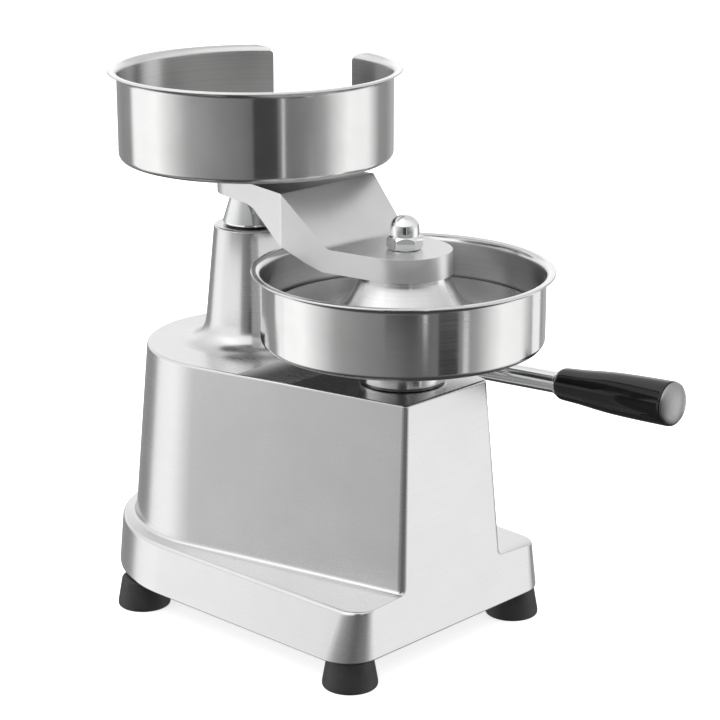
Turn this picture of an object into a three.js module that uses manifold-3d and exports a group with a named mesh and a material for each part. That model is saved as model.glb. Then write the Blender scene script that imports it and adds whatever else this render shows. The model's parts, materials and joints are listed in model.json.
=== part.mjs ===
// Patty press: a hand-lever hamburger mould with a press arm that carries a disc dispenser.
// Millimetres, +Z up. The pieces are placed about the mould's axis (x = 0, y = 0) with the
// feet on z = 0: +X runs from the column to the mould, +Y to the lever's side. At the end the
// whole press is moved so that the origin lies under the middle of its box.

import * as THREE from 'three';
import { mergeVertices } from 'three/addons/utils/BufferGeometryUtils.js';
import Module from 'manifold-3d';

// --- driving dimensions ---------------------------------------------------------------

const GAP = 0.3;                 // play between pieces that touch
const OVER = 5;                  // how far a cutting shape runs past the surface it opens
const ROUND = 40;                // facets of a large turned piece
const MID_ROUND = 28;            // facets of a middling one
const SMALL_ROUND = 16;          // facets of a small one
const HOLE_ROUND = 10;           // facets of a screw or its hole
const WELD = 1e-4;               // corners closer than this are one corner

const MOULD_R = 75;              // bore of the mould bowl, for 150 mm patties
const SHEET = 1.2;               // bowl wall
const SHEET_FLOOR = 1.5;         // bowl floor
const RIM_REACH = 5;             // how far a rim flares past its wall

const MOULD_FLOOR_Z = 171.2;
const MOULD_RIM_Z = 210.6;
const DISPENSER_X = -112;
const DISPENSER_FLOOR_Z = 255.6;
const DISPENSER_RIM_Z = 304.8;
const DISPENSER_GAP = [89.3, 128.6];   // degrees about the dispenser's axis

const FOOT_HEIGHT = 17;
const FOOT_R = 15;
const FOOT_SCREW_R = 2.9;
const FOOT_PAD_R = 13;           // boss above each foot, inside the plinth
const FOOT_PAD_TOP_Z = 30;
const FOOT_PLACES = {
  front_left: [24.6, 66.2],
  front_right: [24.6, -66.2],
  rear_left: [-136.3, 70.9],
  rear_right: [-136.3, -70.9],
};

const WALL = 5;                  // casting wall
const PLINTH_TOP_Z = 45.1;
const BODY_FOOT_Z = 46.4;
const DECK_Z = 148.7;
const DECK_UNDER_Z = DECK_Z - WALL;

const COLUMN_X = -117;
const COLUMN_TOP_Z = 216.1;
const COLUMN_BORE_R = 14.5;
const COLUMN_BOSS_R = 20;        // the column's boss inside the body
const COLUMN_BOSS_Z = 128;
const POST_R = 11;
const POST_FOOT_Z = 72;
const SPIGOT_R = 8;              // the post's thin top end, inside the cone and the arm

const ARM_TOP_Z = 248.4;
const ARM_UNDER_Z = 236.5;
const TONGUE_TOP_Z = 222;
const TONGUE_UNDER_Z = 209.2;
const STUD_X = 1;
const STUD_R = 5;
const PLATFORM_SCREW_CIRCLE = 18.5;   // radius on which the dispenser's screws stand
const SMALL_SCREW_R = 2;
const SET_SCREW_R = 3;
const NECK_R = 12;
const NECK_FOOT_Z = 133;
const NECK_FLANGE_R = 23.8;
const EJECTOR_ROD_R = 6;
const EJECTOR_HOLE_R = EJECTOR_ROD_R + GAP;

const SHAFT_X = -58.5;
const SHAFT_Z = 125;
const SHAFT_R = 8;
const SHAFT_BUSH_R = 11.2;
const OUTER_BUSH_Y = [44, 84];   // the bushes' seats, along the shaft
const INNER_BUSH_Y = [-46.6, -34];
const BUSH_COLLAR_R = 14;
const BUSH_COLLAR_END_Y = 86;
const CRANK_THROW = 32;
const CRANK_ANGLE = THREE.MathUtils.degToRad(-46);
const LIFT_ERROR = 1.2;          // how far the crank pin leaves a straight-line lift

const LEVER_Y = 98;
const HUB_Y = [86.5, 109.5];
const LEVER_TILT = THREE.MathUtils.degToRad(3.9);
const ROD_R = 6.2;
const GRIP_START = 90.5;         // distances along the lever from the shaft's axis
const GRIP_END = 166.2;
const CAP_END = 170.2;

// --- materials ------------------------------------------------------------------------

function metal(color, roughness) {
  return new THREE.MeshStandardMaterial({ color, roughness, metalness: 1 });
}

const castAluminium = metal(0xc9cacb, 0.38);
const satinAluminium = metal(0xd2d2d2, 0.42);
const stainless = metal(0xcfcfce, 0.22);
const chrome = metal(0xe2e3e4, 0.08);
const turnedSteel = metal(0xb9babb, 0.3);
const zincSteel = metal(0xa9adb0, 0.4);
const bronze = metal(0xb88a4a, 0.4);
const rubber = new THREE.MeshStandardMaterial({ color: 0x161616, roughness: 0.75 });
const blackPlastic = new THREE.MeshStandardMaterial({ color: 0x0c0c0d, roughness: 0.15 });

// --- closed shapes --------------------------------------------------------------------

const wasm = await Module();
wasm.setup();

// Welds a shape into one closed skin whose faces point out.
function closed(geometry) {
  const bare = geometry.clone();
  bare.deleteAttribute('normal');
  bare.deleteAttribute('uv');
  const welded = mergeVertices(bare, WELD);
  const place = welded.getAttribute('position');
  const faces = [];
  const [a, b, c] = [new THREE.Vector3(), new THREE.Vector3(), new THREE.Vector3()];
  let volume = 0;
  for (let i = 0; i < welded.index.count; i += 3) {
    const corners = [0, 1, 2].map((k) => welded.index.getX(i + k));
    if (new Set(corners).size < 3) continue;
    faces.push(corners);
    a.fromBufferAttribute(place, corners[0]);
    b.fromBufferAttribute(place, corners[1]);
    c.fromBufferAttribute(place, corners[2]);
    volume += a.dot(b.cross(c));
  }
  if (volume < 0) faces.forEach((corners) => corners.reverse());
  welded.setIndex(faces.flat());
  return welded;
}

function toSolid(geometry) {
  const skin = closed(geometry);
  return new wasm.Manifold(new wasm.Mesh({
    numProp: 3,
    vertProperties: new Float32Array(skin.getAttribute('position').array),
    triVerts: new Uint32Array(skin.index.array),
  }));
}

function toGeometry(solid) {
  const mesh = solid.getMesh();
  const geometry = new THREE.BufferGeometry();
  geometry.setAttribute('position', new THREE.BufferAttribute(mesh.vertProperties, 3));
  geometry.setIndex(new THREE.BufferAttribute(mesh.triVerts, 1));
  return geometry;
}

function combine(how, first, others) {
  const result = others.reduce((solid, other) => solid[how](toSolid(other)), toSolid(first));
  return toGeometry(result);
}

const join = (first, ...others) => combine('add', first, others);
const cut = (first, ...others) => combine('subtract', first, others);
const common = (first, ...others) => combine('intersect', first, others);

// A turned piece about +Z from [radius, height] pairs.
function turned(profile, facets = SMALL_ROUND) {
  const points = profile.map(([radius, height]) => new THREE.Vector2(radius, height));
  return closed(new THREE.LatheGeometry(points, facets).rotateX(Math.PI / 2));
}

// A turned ring: its profile closes on itself.
function turnedRing(profile, facets = SMALL_ROUND) {
  return turned([...profile, profile[0]], facets);
}

// A round bar or hole along +Z between two heights.
function bar(radius, low, high, facets = SMALL_ROUND) {
  const shape = new THREE.CylinderGeometry(radius, radius, high - low, facets);
  return shape.rotateX(Math.PI / 2).translate(0, 0, (low + high) / 2);
}

// A washer or bush along +Z.
function sleeve(inner, outer, low, high, facets = SMALL_ROUND) {
  return turnedRing([[inner, low], [outer, low], [outer, high], [inner, high]], facets);
}

function hexagon(acrossFlats, low, high) {
  return bar(acrossFlats / Math.sqrt(3), low, high, 6);
}

function flat(outline, depth) {
  return closed(new THREE.ExtrudeGeometry(outline, { depth, bevelEnabled: false, curveSegments: 12 }));
}

// A plate standing in the X-Z plane, between two values of y.
function uprightPlate(outline, lowY, highY) {
  return flat(outline, highY - lowY).rotateX(Math.PI / 2).translate(0, highY, 0);
}

function polygon(points) {
  return new THREE.Shape(points.map(([x, y]) => new THREE.Vector2(x, y)));
}

// Skins a stack of outlines that all have the same number of points.
function loft(rings) {
  const count = rings[0].length;
  const positions = rings.flat().flatMap((p) => [p.x, p.y, p.z]);
  const index = [];
  for (let i = 0; i + 1 < rings.length; i += 1) {
    for (let j = 0; j < count; j += 1) {
      const next = (j + 1) % count;
      const [a, b] = [i * count + j, i * count + next];
      index.push(a, b, b + count, a, b + count, a + count);
    }
  }
  const top = (rings.length - 1) * count;
  for (const [p, q, r] of THREE.ShapeUtils.triangulateShape(rings[0], [])) {
    index.push(r, q, p);
    index.push(top + p, top + q, top + r);
  }
  const geometry = new THREE.BufferGeometry();
  geometry.setAttribute('position', new THREE.Float32BufferAttribute(positions, 3));
  geometry.setIndex(index);
  return closed(geometry);
}

// Points along an arc, both ends included.
function arc(centreX, centreY, radius, from, to, steps) {
  return Array.from({ length: steps + 1 }, (_, i) => {
    const angle = from + ((to - from) * i) / steps;
    return new THREE.Vector2(centreX + radius * Math.cos(angle), centreY + radius * Math.sin(angle));
  });
}

// Teardrop outline: a flat front with round corners, straight sides and a round rear.
function teardrop({ front, half, corner, rearX, rearR, z }) {
  const toCorner = new THREE.Vector2(front - rearX, half);
  const sideAngle = toCorner.angle() + Math.acos(rearR / toCorner.length());
  const sharp = new THREE.Vector2(front, half);
  const tangent = new THREE.Vector2(rearX + rearR * Math.cos(sideAngle), rearR * Math.sin(sideAngle));
  const alongSide = tangent.clone().sub(sharp).normalize();
  const alongFront = new THREE.Vector2(0, -1);
  const halfAngle = Math.acos(alongSide.dot(alongFront)) / 2;
  const inward = alongSide.clone().add(alongFront).normalize();
  const middle = sharp.clone().addScaledVector(inward, corner / Math.sin(halfAngle));
  const left = arc(middle.x, middle.y, corner, 0, Math.PI - 2 * halfAngle, 4);
  const rear = arc(rearX, 0, rearR, sideAngle, 2 * Math.PI - sideAngle, 24);
  const right = left.map((p) => new THREE.Vector2(p.x, -p.y)).reverse();
  return [...left, ...rear, ...right].map((p) => new THREE.Vector3(p.x, p.y, z));
}

// --- collecting the pieces ------------------------------------------------------------

const model = new THREE.Group();

function piece(name, geometry, material, x = 0, y = 0) {
  const mesh = new THREE.Mesh(closed(geometry), material);
  mesh.name = name;
  mesh.position.set(x, y, 0);
  model.add(mesh);
  return mesh;
}

// Turns a shape made along +Z so that it lies along +Y on the cross shaft's axis.
function onShaft(geometry) {
  return geometry.rotateX(-Math.PI / 2).translate(SHAFT_X, 0, SHAFT_Z);
}

// A shape made along +Z, laid from the shaft's axis at an angle above +X in the plane of y.
function radial(geometry, angle, y) {
  return geometry.rotateY(Math.PI / 2 - angle).translate(SHAFT_X, y, SHAFT_Z);
}

// --- body casting ---------------------------------------------------------------------

const PLINTH_FOOT = { front: 39.68, half: 81.6, corner: 19.4, rearX: -110.5, rearR: 84.3 };
const PLINTH_TOP = { front: 38.17, half: 74.2, corner: 12.7, rearX: -113.5, rearR: 79.8 };
const BODY_FOOT = { front: 38.1, half: 40.2, corner: 3, rearX: -113.5, rearR: 72 };
const BODY_TOP = { front: 32.6, half: 32.3, corner: 3, rearX: -113.3, rearR: 63.1 };

function inside(outline, z) {
  return teardrop({
    front: outline.front - WALL,
    half: outline.half - WALL,
    corner: Math.max(outline.corner - WALL, 2),
    rearX: outline.rearX,
    rearR: outline.rearR - WALL,
    z,
  });
}

function bodyCasting() {
  const shell = loft([
    teardrop({ ...PLINTH_FOOT, z: FOOT_HEIGHT }),
    teardrop({ ...PLINTH_TOP, z: PLINTH_TOP_Z }),
    teardrop({ ...BODY_FOOT, z: BODY_FOOT_Z }),
    teardrop({ ...BODY_TOP, z: DECK_Z }),
  ]);
  const plinthHollow = loft([
    inside(PLINTH_FOOT, FOOT_HEIGHT - WALL),
    inside(PLINTH_TOP, PLINTH_TOP_Z - WALL),
  ]);
  const bodyHollow = loft([
    inside(BODY_FOOT, PLINTH_TOP_Z - 2 * WALL),
    inside(BODY_TOP, DECK_UNDER_Z),
  ]);
  const footPlaces = Object.values(FOOT_PLACES);
  const pads = footPlaces.map(
    ([x, y]) => common(bar(FOOT_PAD_R, FOOT_HEIGHT, FOOT_PAD_TOP_Z).translate(x, y, 0), shell));
  const columnFootR = 38;
  const columnFootZ = DECK_UNDER_Z + 1;
  const column = turned([
    [0, COLUMN_BOSS_Z], [COLUMN_BOSS_R, COLUMN_BOSS_Z], [COLUMN_BOSS_R, columnFootZ],
    [columnFootR, columnFootZ], [columnFootR, DECK_Z], [33, 149.8], [29.6, 153.2], [27.8, 158],
    [26.4, 164], [21.2, COLUMN_TOP_Z - 1.2], [20, COLUMN_TOP_Z], [0, COLUMN_TOP_Z],
  ], MID_ROUND).translate(COLUMN_X, 0, 0);
  const [bossStart, bossEnd] = OUTER_BUSH_Y;
  const leverBoss = onShaft(turned([
    [0, bossStart], [17.5, bossStart], [19, 58], [17, 66], [16.5, bossEnd], [0, bossEnd],
  ]));
  const [farStart, farEnd] = INNER_BUSH_Y;
  const farBoss = onShaft(bar(15, farStart - 4.4, farEnd));
  const bores = [
    bar(COLUMN_BORE_R, COLUMN_BOSS_Z - OVER, COLUMN_TOP_Z + OVER).translate(COLUMN_X, 0, 0),
    bar(NECK_R + GAP, DECK_UNDER_Z - OVER, DECK_Z + OVER),
    onShaft(bar(SHAFT_BUSH_R + GAP, bossStart - OVER, bossEnd + OVER)),
    onShaft(bar(SHAFT_BUSH_R + GAP, farStart - 0.4, farEnd + OVER)),
    ...footPlaces.map(
      ([x, y]) => bar(FOOT_SCREW_R + GAP, FOOT_HEIGHT - OVER, 28).translate(x, y, 0)),
  ];
  return cut(join(cut(shell, plinthHollow, bodyHollow), ...pads, column, leverBoss, farBoss), ...bores);
}

piece('body_casting', bodyCasting(), castAluminium);

// --- feet -----------------------------------------------------------------------------

const footProfile = [
  [FOOT_SCREW_R + GAP, 7], [7.5, 7], [7.5, 0], [FOOT_R, 0], [FOOT_R, 2],
  [12.4, FOOT_HEIGHT - GAP], [FOOT_SCREW_R + GAP, FOOT_HEIGHT - GAP],
];
const footScrewProfile = [
  [0, 3], [5.8, 3], [5.8, 6.7], [FOOT_SCREW_R, 6.7], [FOOT_SCREW_R, 26], [0, 26],
];

for (const [corner, [x, y]] of Object.entries(FOOT_PLACES)) {
  piece(`foot_${corner}`, turnedRing(footProfile), rubber, x, y);
  piece(`foot_screw_${corner}`, turned(footScrewProfile, HOLE_ROUND), zincSteel, x, y);
}

// --- bushes in the casting ------------------------------------------------------------

piece('column_bush_lower',
  sleeve(POST_R + GAP, COLUMN_BORE_R - GAP, COLUMN_BOSS_Z, 150), bronze, COLUMN_X);
piece('column_bush_upper',
  sleeve(POST_R + GAP, COLUMN_BORE_R - GAP, 192, COLUMN_TOP_Z - 0.6), bronze, COLUMN_X);
piece('shaft_bush_inner', onShaft(sleeve(SHAFT_R + GAP, SHAFT_BUSH_R, ...INNER_BUSH_Y)), bronze);
piece('shaft_bush_outer', onShaft(turnedRing([
  [SHAFT_R + GAP, OUTER_BUSH_Y[0]], [SHAFT_BUSH_R, OUTER_BUSH_Y[0]],
  [SHAFT_BUSH_R, OUTER_BUSH_Y[1] + GAP], [BUSH_COLLAR_R, OUTER_BUSH_Y[1] + GAP],
  [BUSH_COLLAR_R, BUSH_COLLAR_END_Y], [SHAFT_R + GAP, BUSH_COLLAR_END_Y],
])), bronze);

// --- mould ----------------------------------------------------------------------------

// A pressed-steel bowl with a round lower corner and a flared rim.
function bowlProfile(wallR, floorZ, rimZ, holeR) {
  const inner = wallR - SHEET;
  const outside = [
    [holeR, floorZ], [wallR - 4.2, floorZ], [wallR - 1.3, floorZ + 1.2], [wallR, floorZ + 4],
    [wallR, rimZ - 5], [wallR + 1.2, rimZ - 2.5], [wallR + 3, rimZ - 1], [wallR + RIM_REACH, rimZ - 0.5],
  ];
  const insideWall = [
    [wallR + RIM_REACH - 0.2, rimZ + 0.5], [wallR + 2.4, rimZ], [wallR, rimZ - 1.8],
    [inner, rimZ - 4.8], [inner, floorZ + 4.2], [inner - 1.1, floorZ + 2.2],
    [inner - 3.3, floorZ + SHEET_FLOOR], [holeR, floorZ + SHEET_FLOOR],
  ];
  return [...outside, ...insideWall];
}

function around(count, radius, start = 0) {
  return Array.from({ length: count }, (_, i) => {
    const angle = start + (2 * Math.PI * i) / count;
    return [radius * Math.cos(angle), radius * Math.sin(angle)];
  });
}

const neckTopZ = MOULD_FLOOR_Z - GAP;
const BOWL_SCREW_CIRCLE = 16;    // radius on which the screws through the mould's floor stand
const BOWL_SCREW_FOOT_Z = 160;
const bowlScrewPlaces = around(3, BOWL_SCREW_CIRCLE, Math.PI / 6);

// Screw holes along +Z at some places.
function screwHoles(places, low, high) {
  return places.map(([x, y]) => bar(SMALL_SCREW_R + GAP, low, high, HOLE_ROUND).translate(x, y, 0));
}

const bowlScrewHoles = screwHoles(bowlScrewPlaces, BOWL_SCREW_FOOT_Z - 1, MOULD_FLOOR_Z + OVER);

piece('mould_bowl', cut(
  turnedRing(bowlProfile(MOULD_R + SHEET, MOULD_FLOOR_Z, MOULD_RIM_Z, EJECTOR_HOLE_R + 0.5), ROUND),
  ...bowlScrewHoles), stainless);

piece('mould_neck', cut(turnedRing([
  [EJECTOR_HOLE_R, NECK_FOOT_Z], [NECK_R, NECK_FOOT_Z], [NECK_R, DECK_Z + GAP],
  [NECK_FLANGE_R - 1, DECK_Z + GAP], [NECK_FLANGE_R, DECK_Z + GAP + 1],
  [NECK_FLANGE_R, neckTopZ - 1], [NECK_FLANGE_R - 1, neckTopZ], [EJECTOR_HOLE_R, neckTopZ],
], MID_ROUND), ...bowlScrewHoles), chrome);

const NECK_NUT_Z = [NECK_FOOT_Z + 1.5, DECK_UNDER_Z - GAP];
piece('neck_nut', cut(hexagon(30, ...NECK_NUT_Z),
  bar(NECK_R + GAP, NECK_NUT_Z[0] - OVER, NECK_NUT_Z[1] + OVER)), zincSteel);

const bowlFloorZ = MOULD_FLOOR_Z + SHEET_FLOOR + GAP;
bowlScrewPlaces.forEach(([x, y], i) => {
  const screw = turned([
    [0, BOWL_SCREW_FOOT_Z], [SMALL_SCREW_R, BOWL_SCREW_FOOT_Z], [SMALL_SCREW_R, bowlFloorZ],
    [3.8, bowlFloorZ], [3.2, bowlFloorZ + 1.2], [0, bowlFloorZ + 1.2],
  ], HOLE_ROUND);
  piece(`bowl_screw_${i + 1}`, screw, zincSteel, x, y);
});

// --- ejector --------------------------------------------------------------------------

const EJECTOR_R = 73.9;
const EJECTOR_UNDER_Z = 174.6;
const EJECTOR_TOP_Z = 177.6;
const EJECTOR_SCREW_R = 2.4;
const EJECTOR_SCREW_FOOT_Z = 160;
const EJECTOR_SCREW_HOLE_R = 2.8;
const SINK_Z = EJECTOR_TOP_Z - 2.4;    // lower end of the countersink
const LIFT_PAD_Z = 101;

piece('ejector_plate', turnedRing([
  [EJECTOR_SCREW_HOLE_R, EJECTOR_UNDER_Z], [EJECTOR_R - 0.5, EJECTOR_UNDER_Z],
  [EJECTOR_R, EJECTOR_UNDER_Z + 0.7], [EJECTOR_R, EJECTOR_TOP_Z], [5.4, EJECTOR_TOP_Z],
  [EJECTOR_SCREW_HOLE_R, SINK_Z],
], ROUND), stainless);

piece('ejector_rod', cut(bar(EJECTOR_ROD_R, LIFT_PAD_Z + GAP, EJECTOR_UNDER_Z - GAP),
  bar(EJECTOR_SCREW_HOLE_R, EJECTOR_SCREW_FOOT_Z - 1, EJECTOR_UNDER_Z + OVER, HOLE_ROUND)), turnedSteel);

piece('ejector_screw', turned([
  [0, EJECTOR_SCREW_FOOT_Z], [EJECTOR_SCREW_R, EJECTOR_SCREW_FOOT_Z], [EJECTOR_SCREW_R, SINK_Z],
  [5, EJECTOR_TOP_Z], [0, EJECTOR_TOP_Z],
], HOLE_ROUND), turnedSteel);

// --- cross shaft, crank and lift plate ------------------------------------------------

const SHAFT_Y = [-45, 109];
const SHAFT_RING_Y = [42, 43.6];
piece('cross_shaft', onShaft(bar(SHAFT_R, ...SHAFT_Y)), turnedSteel);
piece('shaft_ring', onShaft(sleeve(SHAFT_R + GAP, 12, ...SHAFT_RING_Y)), zincSteel);

const CRANK_Y = [4, 12];
const CRANK_HUB_END_Y = 18;
const CRANK_HUB_R = 15;
const CRANK_EYE_R = 8.5;
const CRANK_SCREW_Y = 14.5;
const CRANK_PIN_R = 4;
const ROLLER_R = 6;
const crankPin = new THREE.Vector2(
  SHAFT_X + CRANK_THROW * Math.cos(CRANK_ANGLE), SHAFT_Z + CRANK_THROW * Math.sin(CRANK_ANGLE));

// Turns a shape made along +Z so that it lies along +Y on the crank pin's axis.
function onCrankPin(geometry) {
  return geometry.rotateX(-Math.PI / 2).translate(crankPin.x, 0, crankPin.y);
}

function crankArm() {
  const [low, high] = CRANK_Y;
  const side = CRANK_ANGLE + Math.PI / 2;
  const [hubHalf, eyeHalf] = [CRANK_HUB_R - 2, CRANK_EYE_R - 0.5];
  const web = polygon([
    [SHAFT_X + hubHalf * Math.cos(side), SHAFT_Z + hubHalf * Math.sin(side)],
    [SHAFT_X - hubHalf * Math.cos(side), SHAFT_Z - hubHalf * Math.sin(side)],
    [crankPin.x - eyeHalf * Math.cos(side), crankPin.y - eyeHalf * Math.sin(side)],
    [crankPin.x + eyeHalf * Math.cos(side), crankPin.y + eyeHalf * Math.sin(side)],
  ]);
  const hub = onShaft(bar(CRANK_HUB_R, low, CRANK_HUB_END_Y));
  const eye = onCrankPin(bar(CRANK_EYE_R, low, high));
  const body = join(uprightPlate(web, low, high), hub, eye);
  return cut(body,
    onShaft(bar(SHAFT_R + GAP, low - 4, CRANK_HUB_END_Y + OVER)),
    onCrankPin(bar(CRANK_PIN_R + GAP, low - 4, high + OVER)),
    radial(bar(SET_SCREW_R + GAP, SHAFT_R - 2, CRANK_HUB_R + OVER, HOLE_ROUND),
      CRANK_ANGLE + Math.PI, CRANK_SCREW_Y));
}

piece('crank_arm', crankArm(), turnedSteel);
piece('crank_set_screw',
  radial(bar(SET_SCREW_R, SHAFT_R + GAP, CRANK_HUB_R - 0.4, HOLE_ROUND), CRANK_ANGLE + Math.PI,
    CRANK_SCREW_Y), zincSteel);
const ROLLER_Y = [-3.4, 3.4];
const PIN_HEAD_Y = [-6, -3.8];
const PIN_HEAD_R = 6.5;
piece('crank_pin', onCrankPin(turned([
  [0, PIN_HEAD_Y[0]], [PIN_HEAD_R, PIN_HEAD_Y[0]], [PIN_HEAD_R, PIN_HEAD_Y[1]],
  [CRANK_PIN_R, PIN_HEAD_Y[1]], [CRANK_PIN_R, CRANK_Y[1]], [0, CRANK_Y[1]],
])), turnedSteel);
piece('crank_roller', onCrankPin(sleeve(CRANK_PIN_R + GAP, ROLLER_R, ...ROLLER_Y)), bronze);

const ROLLER_PLAY = LIFT_ERROR / 2 + 0.25;
const SLOT_WALL = 4.4;           // metal above the roller's slot
const PLATE_Y = [-3, 3];
const LIFT_BOLT_Z = [79.5, 91.5];
const LIFT_BOLT_R = 3;

function liftBoltHoles() {
  const reach = POST_R + OVER;
  return LIFT_BOLT_Z.map((z) => bar(LIFT_BOLT_R + GAP, -reach, reach, HOLE_ROUND)
    .rotateX(Math.PI / 2).translate(COLUMN_X, 0, z));
}

function liftPlate() {
  const slotZ = crankPin.y - LIFT_ERROR / 2;
  const slotR = ROLLER_R + ROLLER_PLAY;
  const [slotLow, slotHigh] = [crankPin.x - 0.4, SHAFT_X + CRANK_THROW + 0.4];
  const outline = polygon([
    [-131, 74], [-49, 74], [-20, 88], [8, 92], [8, LIFT_PAD_Z], [-16, LIFT_PAD_Z],
    [-16, slotZ + slotR + SLOT_WALL], [-49.2, slotZ + slotR + SLOT_WALL], [-49.2, 85], [-67.8, 85],
    [-67.8, 97], [-131, 97],
  ]);
  const slot = new THREE.Shape();
  slot.absarc(slotHigh, slotZ, slotR, -Math.PI / 2, Math.PI / 2, false);
  slot.absarc(slotLow, slotZ, slotR, Math.PI / 2, 1.5 * Math.PI, false);
  return cut(uprightPlate(outline, ...PLATE_Y), uprightPlate(slot, -OVER, OVER), ...liftBoltHoles());
}

piece('lift_plate', liftPlate(), zincSteel);

// --- guide post and cone --------------------------------------------------------------

const POST_SHOULDER_Z = COLUMN_TOP_Z + 0.7;
const FORK_DEPTH = 25.3;         // from the post's foot to the fork's floor
const ARM_SCREW_R = 3.9;
const ARM_SCREW_FOOT_Z = 226;
const CONE_Z = [COLUMN_TOP_Z + 1, ARM_UNDER_Z - GAP];

function guidePost() {
  const post = turned([
    [0, POST_FOOT_Z], [POST_R, POST_FOOT_Z], [POST_R, POST_SHOULDER_Z], [SPIGOT_R, POST_SHOULDER_Z],
    [SPIGOT_R, ARM_TOP_Z - 0.5], [0, ARM_TOP_Z - 0.5],
  ]).translate(COLUMN_X, 0, 0);
  const fork = new THREE.BoxGeometry(3 * POST_R, 2 * PLATE_Y[1] + 2 * GAP, 2 * FORK_DEPTH)
    .translate(COLUMN_X, 0, POST_FOOT_Z);
  const threads = bar(ARM_SCREW_R + GAP, ARM_SCREW_FOOT_Z - 1, ARM_TOP_Z + OVER)
    .translate(COLUMN_X, 0, 0);
  return cut(post, fork, threads, ...liftBoltHoles());
}

piece('guide_post', guidePost(), turnedSteel);
piece('post_cone', turnedRing([
  [SPIGOT_R + GAP, CONE_Z[0]], [16.1, CONE_Z[0]], [16.1, CONE_Z[0] + 0.8],
  [10.6, CONE_Z[1]], [SPIGOT_R + GAP, CONE_Z[1]],
], MID_ROUND), chrome, COLUMN_X);

LIFT_BOLT_Z.forEach((z, i) => {
  const name = ['lower', 'upper'][i];
  const headY = POST_R + GAP;
  const endY = headY + 5.4;
  const bolt = turned([
    [0, -headY - 4], [4.8, -headY - 4], [4.8, -headY], [LIFT_BOLT_R, -headY], [LIFT_BOLT_R, endY],
    [0, endY],
  ], HOLE_ROUND);
  const nut = cut(hexagon(8.6, headY, headY + 4.6),
    bar(LIFT_BOLT_R + GAP, headY - OVER, endY + OVER, HOLE_ROUND));
  piece(`lift_bolt_${name}`, bolt.rotateX(-Math.PI / 2).translate(COLUMN_X, 0, z), zincSteel);
  piece(`lift_nut_${name}`, nut.rotateX(-Math.PI / 2).translate(COLUMN_X, 0, z), zincSteel);
});

// --- press arm ------------------------------------------------------------------------

const ARM_CORNER = [-56, 36];
const ARM_REAR = { x: -108, r: 25 };
const ARM_FRONT_R = 25.5;

const spacerScrewPlaces = around(3, PLATFORM_SCREW_CIRCLE).map(([x, y]) => [DISPENSER_X + x, y]);
const SPACER_SCREW_FOOT_Z = 241;

// Angle of the point where a line from the arm's widest corner touches a round end.
function touchAngle(centreX, radius) {
  const toCorner = new THREE.Vector2(ARM_CORNER[0] - centreX, ARM_CORNER[1]);
  const turn = Math.acos(radius / toCorner.length());
  return toCorner.angle() + (centreX < ARM_CORNER[0] ? turn : -turn);
}

function armPlan() {
  const front = touchAngle(STUD_X, ARM_FRONT_R);
  const rear = touchAngle(ARM_REAR.x, ARM_REAR.r);
  const [cornerX, cornerY] = ARM_CORNER;
  return new THREE.Shape([
    ...arc(STUD_X, 0, ARM_FRONT_R, -front, front, 16),
    new THREE.Vector2(cornerX, cornerY),
    ...arc(ARM_REAR.x, 0, ARM_REAR.r, rear, 2 * Math.PI - rear, HOLE_ROUND),
    new THREE.Vector2(cornerX, -cornerY),
  ]);
}

function pressArm() {
  const side = polygon([
    [-140, ARM_UNDER_Z], [-90, ARM_UNDER_Z], [-83, 235.2], [-59, 220.7], [-40, 212.4],
    [-29.5, TONGUE_UNDER_Z], [40, TONGUE_UNDER_Z], [40, TONGUE_TOP_Z], [-27, TONGUE_TOP_Z],
    [ARM_CORNER[0], ARM_TOP_Z], [-140, ARM_TOP_Z],
  ]);
  const armHeight = ARM_TOP_Z - TONGUE_UNDER_Z;
  const plan = flat(armPlan(), armHeight + 2 * OVER).translate(0, 0, TONGUE_UNDER_Z - OVER);
  const halfWidth = ARM_CORNER[1] + OVER;
  return cut(common(uprightPlate(side, -halfWidth, halfWidth), plan),
    bar(SPIGOT_R + GAP, ARM_UNDER_Z - OVER, ARM_TOP_Z + OVER).translate(COLUMN_X, 0, 0),
    bar(STUD_R + GAP, TONGUE_UNDER_Z - OVER, TONGUE_TOP_Z + OVER).translate(STUD_X, 0, 0),
    ...screwHoles(spacerScrewPlaces, SPACER_SCREW_FOOT_Z - 1.5, ARM_TOP_Z + OVER));
}

piece('press_arm', pressArm(), satinAluminium);

const WASHER_R = 10;
const WASHER_TOP_Z = ARM_TOP_Z + GAP + 1.5;
const ARM_SCREW_HEAD_R = 7.4;
const ARM_SCREW_TOP_Z = WASHER_TOP_Z + 4.6;
piece('arm_washer',
  sleeve(ARM_SCREW_R + 0.5, WASHER_R, ARM_TOP_Z + GAP, WASHER_TOP_Z), zincSteel, COLUMN_X);
piece('arm_screw', turned([
  [0, ARM_SCREW_FOOT_Z], [ARM_SCREW_R, ARM_SCREW_FOOT_Z], [ARM_SCREW_R, WASHER_TOP_Z + GAP],
  [ARM_SCREW_HEAD_R, WASHER_TOP_Z + GAP], [ARM_SCREW_HEAD_R, ARM_SCREW_TOP_Z], [0, ARM_SCREW_TOP_Z],
]), zincSteel, COLUMN_X);

// --- dispenser for paper discs --------------------------------------------------------

const WINDOW_SILL = 5.5;         // from the dispenser's floor up to its window
const SPACER_R = 24;

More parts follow.
